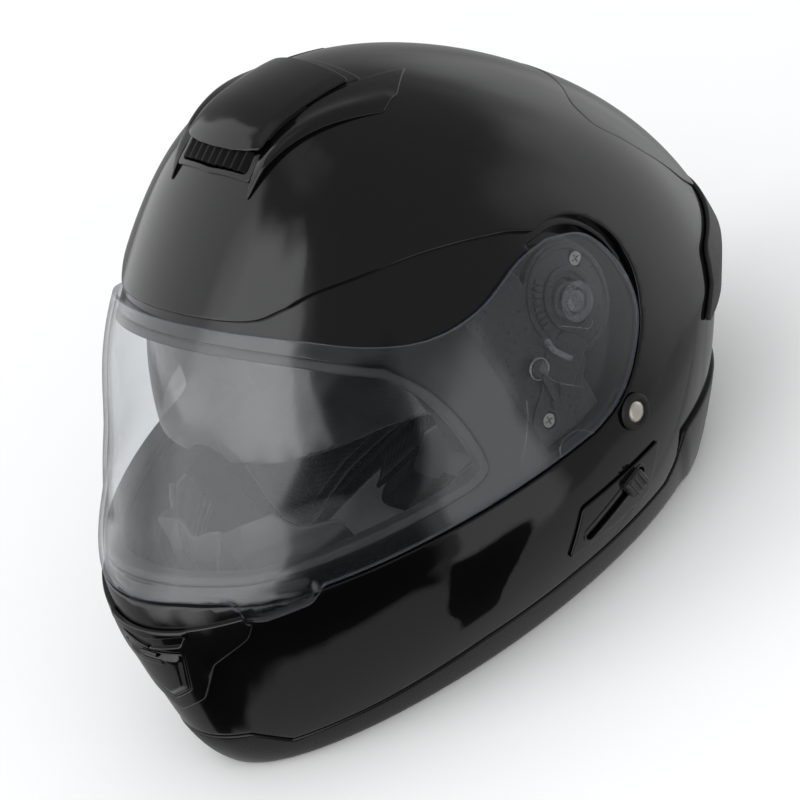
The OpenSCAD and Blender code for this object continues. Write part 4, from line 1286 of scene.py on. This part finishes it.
def build_neck_roll():
    rows, n = [], 20
    ang = np.linspace(127, 233, 44)
    for k, t in enumerate(ang):
        a0 = math.radians(t)
        inner = head_pt(np.array(a0), np.array(25.0), 9.0)
        outer = raw(np.array(a0), np.array(25.0))
        nn = outer - np.array([0, 30, 25])
        nn[2] = 0
        nn /= np.linalg.norm(nn)
        outer = outer - nn * 10.4
        mid, half = (inner + outer) / 2, max(np.linalg.norm((outer - inner)[:2]) / 2, 4.0)
        e = min(k, len(ang) - 1 - k) / 5.0
        taper = math.sqrt(max(1 - max(1 - e, 0) ** 2, 0.02))
        th = np.linspace(0, 2 * math.pi, n, endpoint=False)
        cx, sx = [np.sign(q) * np.abs(q) ** 0.7 for q in (np.cos(th), np.sin(th))]
        rows.append(mid + nn * ((half - 1.5) * taper * cx)[:,
                                                           None] + np.array([0, 0,
                                                                             1.0]) * (13.0 * taper * sx)[:,
                                                                                     None])
    v = np.vstack(rows)
    v, f = puff(v, strips(len(ang), n), cap=1.6)
    a = np.degrees(np.arctan2(v[:, 0], -(v[:, 1] - YM)))
    rib = np.exp(-(((((a % 360) - 180) % 15 - 7.5) / 0.9) ** 2))
    c = np.array([0, 20, 25.0])
    u = v - c
    u[:, 2] = 0
    u /= np.linalg.norm(u, axis=1, keepdims=True)
    v = v - u * (1.3 * rib)[:, None]
    Parts().add(v, f).make("neck_roll", MAT["pad"], slot="lining_fabric", replaces=["neck_roll"], sharp=180)


def build_curtain():
    def surf(uv):
        x, y = uv[..., 0], uv[..., 1]
        z = 7.6 + 0.55 * np.sin(np.arctan2(x, -(y + 20)) * 42) * step01((y + 175) / 60) - 0.6
        n = np.broadcast_to([0.0, 0, 1.0], (*uv.shape[:-1], 3))
        return np.stack([x, y, z], -1), n

    s = Sheet(surf, np.linspace(-112, 112, 150), np.linspace(-178, -92, 60))
    a = np.linspace(-math.pi, math.pi, 240, endpoint=False)
    q, m = base(np.stack([a, np.full_like(a, v_of_z(7.0))], -1))
    inner = q[:, :2] - m[:, :2] * 11.0
    hole = lambda p: 1 - np.hypot(p[..., 0] / 74, (p[..., 1] + 20) / 99.9)
    s.clip(lambda p: sd(p[..., :2], inner) + 0.4)
    s.clip(lambda p: hole(p) * 74 + 0.5)
    s.clip(lambda p: p[..., 1] + 94.5)
    v, f = body_from(s, 0.4, 1.2)
    P = Parts().add(v, f)
    t = np.linspace(-0.72, 0.72, 60)
    path = np.stack([74 * np.sin(t), -20 - 99.9 * np.cos(t), 7.1 + 0 * t], -1)
    P.add(*tube(path - [0, 1.0, 0], 1.1, 8), 1)
    P.make("chin_curtain", [MAT["knit"], MAT["piping"]], slot="lining_fabric", replaces=["chin_curtain"])


def build_breath_guard():
    top = np.array([[-64, 78], [-60, 99], [-47, 104], [-36, 119], [-22, 121], [-12, 111], [0, 108], [12, 111],
                    [22, 121],
                    [36, 119], [47, 104], [60, 99], [64, 78], [64, 72], [-64, 72]], float)

    def surf(uv):
        p, n = base(uv)
        x, z = np.abs(p[..., 0]), p[..., 2]
        tri = lambda t: np.maximum(1 - np.abs(t), 0)
        fold = 4.6 * tri((x - 22 - 0.35 * (z - 90)) / 8) + 3.6 * tri((x - 45 + 0.4 * (z - 90)) / 7)
        fold = (fold + 1.6 * tri(x / 9)) * step01((z - 80) / 12)
        rib = 0.5 * np.sin((z - 72) * 1.1) * step01((88 - z) / 4)
        brim = 1.6 * step01((z - 100) / 8)
        return p + n * (-30.6 + fold + rib + brim)[..., None] + [0, 10, 0], n

    s = Sheet(surf, np.radians(np.linspace(-50, 50, 170)), np.linspace(*band(68, 122), 60))
    cut(s, [inside_of(rounded(top, 4), XZ), lambda p: p[..., 1] + 60], 0.9)
    v, f = body_from(s, 0.9, 2.9)
    P = Parts().add(v, f)
    c = np.radians(np.linspace(-50, 50, 400))
    for i in range(-5, 6):
        pts = []
        for z in (74.5, 80.5):
            a0 = c[np.abs(raw(c, np.full_like(c, z))[:, 0] - i * 8.0).argmin()]
            pts.append(surf(np.array([[a0, v_of_z(z)]]))[0][0])
        P.add(*tube(pts, 0.5, 6))
    P.make("breath_guard", MAT["guard"], slot="rubber", replaces=["breath_guard"])


build_cheek_pads()
build_crown()
build_neck_roll()
build_curtain()
build_breath_guard()

# ============================================================================
# Straps and hardware
# ============================================================================
BUCKLE_Z, STRAP_W, STRAP_T = 16.5, 23, 1.9
FALL = [[float(side_pt(42.0, float(z), -12.2)[0]), 42, z] for z in (73.2, 62, 50, 36, 26)] + [
    [94, 42, 17.5], [88, 38, 12], [79, 30, 10.2], [67, 18, 11.8], [58, 8, 14.5], [50, 0, BUCKLE_Z]]


def ribbon(path, w, t, n=8):
    """Flat webbing along a path, its width along Y, with rounded selvedges"""
    p = spline(path, n, end=True)
    nrm = unit(np.cross(np.gradient(p, axis=0), [0, 1.0, 0]), 0)
    prof = []
    for k in range(13):
        u = -1 + 2 * k / 12
        prof.append((u * w / 2, t / 2 * (1 - 0.75 * max(0, abs(u) - 0.86) / 0.14)))
    prof += [(q[0], -q[1]) for q in reversed(prof)]
    q = np.array(prof)
    v = (p[:, None] + np.array([0, 1.0, 0]) * q[None, :, :1] + nrm[:, None] * q[None, :, 1:]).reshape(-1, 3)
    return v, strips(len(p), len(prof)), p, nrm


def stitches(P, p, nrm, w, start, end, mat=1, pitch=3):
    """Rows of short thread bumps along both selvedges"""
    d = np.concatenate([[0], np.cumsum(np.linalg.norm(np.diff(p, axis=0), axis=1))])
    s = start
    while s < min(end, d[-1] - 2):
        for off in (-w / 2 + 2.2, w / 2 - 2.2):
            a = np.array([np.interp(s, d, p[:, i]) for i in range(3)])
            b = np.array([np.interp(s + pitch * 0.6, d, p[:, i]) for i in range(3)])
            nn = np.array([np.interp(s, d, nrm[:, i]) for i in range(3)])
            o = np.array([0, off, 0]) - nn
            P.add(*tube([a + o, (a + b) / 2 + o - nn * 0.12, b + o], 0.28, 5), mat)
        s += pitch


def webbing(path):
    P = Parts()
    v, f, p, nrm = ribbon(path, STRAP_W, STRAP_T)
    P.add(v, f)
    stitches(P, p, nrm, STRAP_W, 2, 60)
    return P


def build_straps():
    cloth = [MAT["webbing"], MAT["thread"]]
    webbing(FALL).make("chin_strap_left", cloth, slot="webbing", replaces=["strap_left"], sharp=50)
    # the right strap follows the buckle's tongue
    R = webbing(FALL[:10] + [[46, 0, BUCKLE_Z], [24, 0, BUCKLE_Z]])
    R.v = [q * [-1, 1, 1] for q in R.v]
    ob = R.make("chin_strap_right", cloth, None, "webbing", ["strap_right"], sharp=50)
    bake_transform(ob)
    S = Parts()
    pad = [[84, 34, 13.8], [79, 30, 13.1], [67, 18, 14.7], [61, 11.5, 16.6]]
    v, f, p, nrm = ribbon(pad, 28.6, 2.6, 10)
    S.add(v, f, both=True)
    for y in (14.0, -14.0):
        S.add(*tube(p + np.array([0, y, 0]), 1.15, 8), 1, both=True)
    S.make("strap_comfort_pads", [MAT["pad"], MAT["piping"]], slot="lining_fabric", replaces=["strap_pads"],
           sharp=60)


def build_rivets():
    c = side_pt(42.0, 69.0, 0.0)
    nv = side_pt(42.0, 69.0, 1.0) - c
    R = Parts()
    R.add(*lathe([(0.0, 3.05), (0.0, 8.6), (0.6, 9.1), (1.5, 8.9), (2.4, 8.0), (2.7, 7.2), (2.6, 6.2),
                  (1.6, 5.7),
                  (1.4, 5.2), (1.4, 3.05)], c + nv * 0.3, nv, 72), both=True)
    R.make("rivet_rings", MAT["rubber"], slot="rubber", replaces=["rivet_rings"], sharp=50)
    H = Parts()
    H.add(*lathe([(0.9, 5.2), (1.7, 5.1), (2.15, 4.5), (2.4, 3.3), (2.52, 1.8), (2.56, 0.05)], c, nv, 56),
          both=True)
    H.add(*lathe([(-16.0, 2.6), (-15.7, 3.0), (0.9, 3.0)], c, (1, 0, 0), 24), both=True)
    H.make("strap_rivets", MAT["rivet"], slot="steel", replaces=["strap_rivets"])


build_straps()
build_rivets()


# nodes carried over from the source take one of the finishes above
FINISH = {"eps_liner": "foam", "chin_eps": "foam", "base_plate_screws": "steel", "lever_springs": "steel",
          "sun_pivot_left": "satin_fine", "sun_pivot_right": "satin_fine", "slider_cable": "rubber",
          "anchor_plates": "steel", "buckle_receiver": "satin", "buckle_pin": "steel", "buckle_lever": "red",
          "buckle_tongue": "steel"}
for name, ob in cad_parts.items():
    ob.data.materials.clear()
    ob.data.materials.append(MAT[FINISH.get(name, "satin")])

# ============================================================================
# Stage, light and camera
# ============================================================================
WOBBLE_DEG = 17.0


def environment():
    """White room. Polished faces see a dark room with soft grey panels, as black gloss looks in a studio."""
    w = bpy.data.worlds.new("studio")
    bpy.context.scene.world = w
    w.use_nodes = True
    nt = w.node_tree
    nt.nodes.clear()

    def calc(op, *args):
        return node(nt, "Math", dict(enumerate(args)), operation=op).outputs[0]

    seen_from = node(nt, "TexCoord").outputs["Generated"]
    wobble = node(nt, "TexNoise", {"Scale": 4.0, "Detail": 0.6, "Vector": seen_from})
    sep = node(nt, "SeparateXYZ", {0: seen_from})
    nsep = node(nt, "SeparateColor", {0: wobble.outputs["Color"]})
    turn = calc("ARCTAN2", sep.outputs[0], calc("MULTIPLY", sep.outputs[1], -1.0))
    az, el = [calc("ADD", calc("MULTIPLY", angle, 180 / math.pi),
                   calc("MULTIPLY", calc("SUBTRACT", nsep.outputs[k], 0.5), WOBBLE_DEG))
              for k, angle in enumerate((turn, calc("ARCSINE", sep.outputs[2])))]

    def edge(val, a, b):
        return node(nt, "MapRange", {"Value": val, "From Min": a, "From Max": b},
                    interpolation_type="SMOOTHSTEP").outputs["Result"]

    def window(val, a, b, soft):
        return calc("MULTIPLY", edge(val, a - soft, a + soft),
                    calc("SUBTRACT", 1.0, edge(val, b - soft, b + soft)))

    total = 0.27
    # azimuth range, elevation range, softness in degrees, brightness added
    panels = [
        (-100, 36, -11, 62, 2.5, 5, 0.80),
        (-30, 36, -8, 61, 12, 5, 0.95),
        (79, 108, -46, -4, 3, 8, 0.60),
        (38, 76, -12, 16, 3, 7, -0.30),
        (-40, 72, -42, -12, 3, 2.5, -0.30),
        (-180, 180, -95, -42, 5, 2.5, 0.17),
        (78, 98, -66, -37, 2.5, 3, -1.6),
        (142, 215, -34, 14, 18, 12, 0.60),
        (-215, -145, -34, 14, 18, 12, 0.60),
        (-180, 180, 76, 100, 10, 8, 0.20),
    ]
    for a0, a1, e0, e1, sa, se, gain in panels:
        total = calc("MULTIPLY_ADD", calc("MULTIPLY", window(az, a0, a1, sa), window(el, e0, e1, se)), gain,
                     total)
    total = calc("MAXIMUM", total, 0.006)
    glossy = node(nt, "LightPath").outputs["Is Glossy Ray"]
    seen = calc("ADD", calc("MULTIPLY", glossy, calc("SUBTRACT", total, 1.0)), 1.0)
    bg = node(nt, "Background", {0: (0.985, 0.99, 1.0, 1), 1: seen})
    node(nt, "OutputWorld", {0: bg.outputs[0]})


def stage():
    me = bpy.data.meshes.new("floor")
    bm = bmesh.new()
    bmesh.ops.create_grid(bm, x_segments=24, y_segments=24, size=9)
    bm.to_mesh(me)
    bm.free()
    floor = add_object("floor", me)
    floor.location = (0, 0, -0.0004)
    m, nt, out = node_mat("floor_white")
    surface(nt, out, Roughness=0.7, Specular_IOR_Level=0.2,
            Base_Color=ramp(nt, noise(nt, 3), 1.0, (0.3, 0.93), (0.7, 0.95)))
    me.materials.append(m)
    floor.visible_glossy = False

    def area(name, loc, size, power):
        d = bpy.data.lights.new(name, "AREA")
        d.energy = power
        d.shape = "RECTANGLE"
        d.size = size
        d.size_y = size
        o = add_object(name, d)
        o.location = loc
        o.rotation_euler = (Vector((0, 0, 0.12)) - Vector(loc)).to_track_quat("-Z", "Y").to_euler()
        o.visible_glossy = False

    area("key", (-1.2, -1.6, 1.3), 1.0, 9)
    area("fill", (1.7, -0.5, 0.9), 1.2, 7)


def camera():
    az, el, pitch, dist = math.radians(52.198), math.radians(12.526), 32.081, 5.676
    back = np.array([math.sin(az) * math.cos(el), -math.cos(az) * math.cos(el), math.sin(el)])
    right = np.array([math.cos(az), math.sin(az), 0.0])
    up = np.cross(back, right)
    rx = rot_x(-pitch)
    R = np.stack([rx @ right, rx @ up, rx @ back], 1)
    pos = rx @ (back * dist) + np.array([0, 0.008, 0.130])
    cam = bpy.data.cameras.new("camera")
    o = add_object("camera", cam)
    o.matrix_world = Matrix([[*R[i], pos[i]] for i in range(3)] + [[0, 0, 0, 1]])
    cam.sensor_width = 36
    cam.lens = 0.985 * 2.167 * 5676 / 800 * 36
    cam.shift_x = (400 - 371.77) / 800
    cam.shift_y = -(400 - 314.06) / 800
    cam.clip_end = 50
    bpy.context.scene.camera = o


environment()
stage()
camera()
bpy.context.scene.view_settings.view_transform = "Standard"
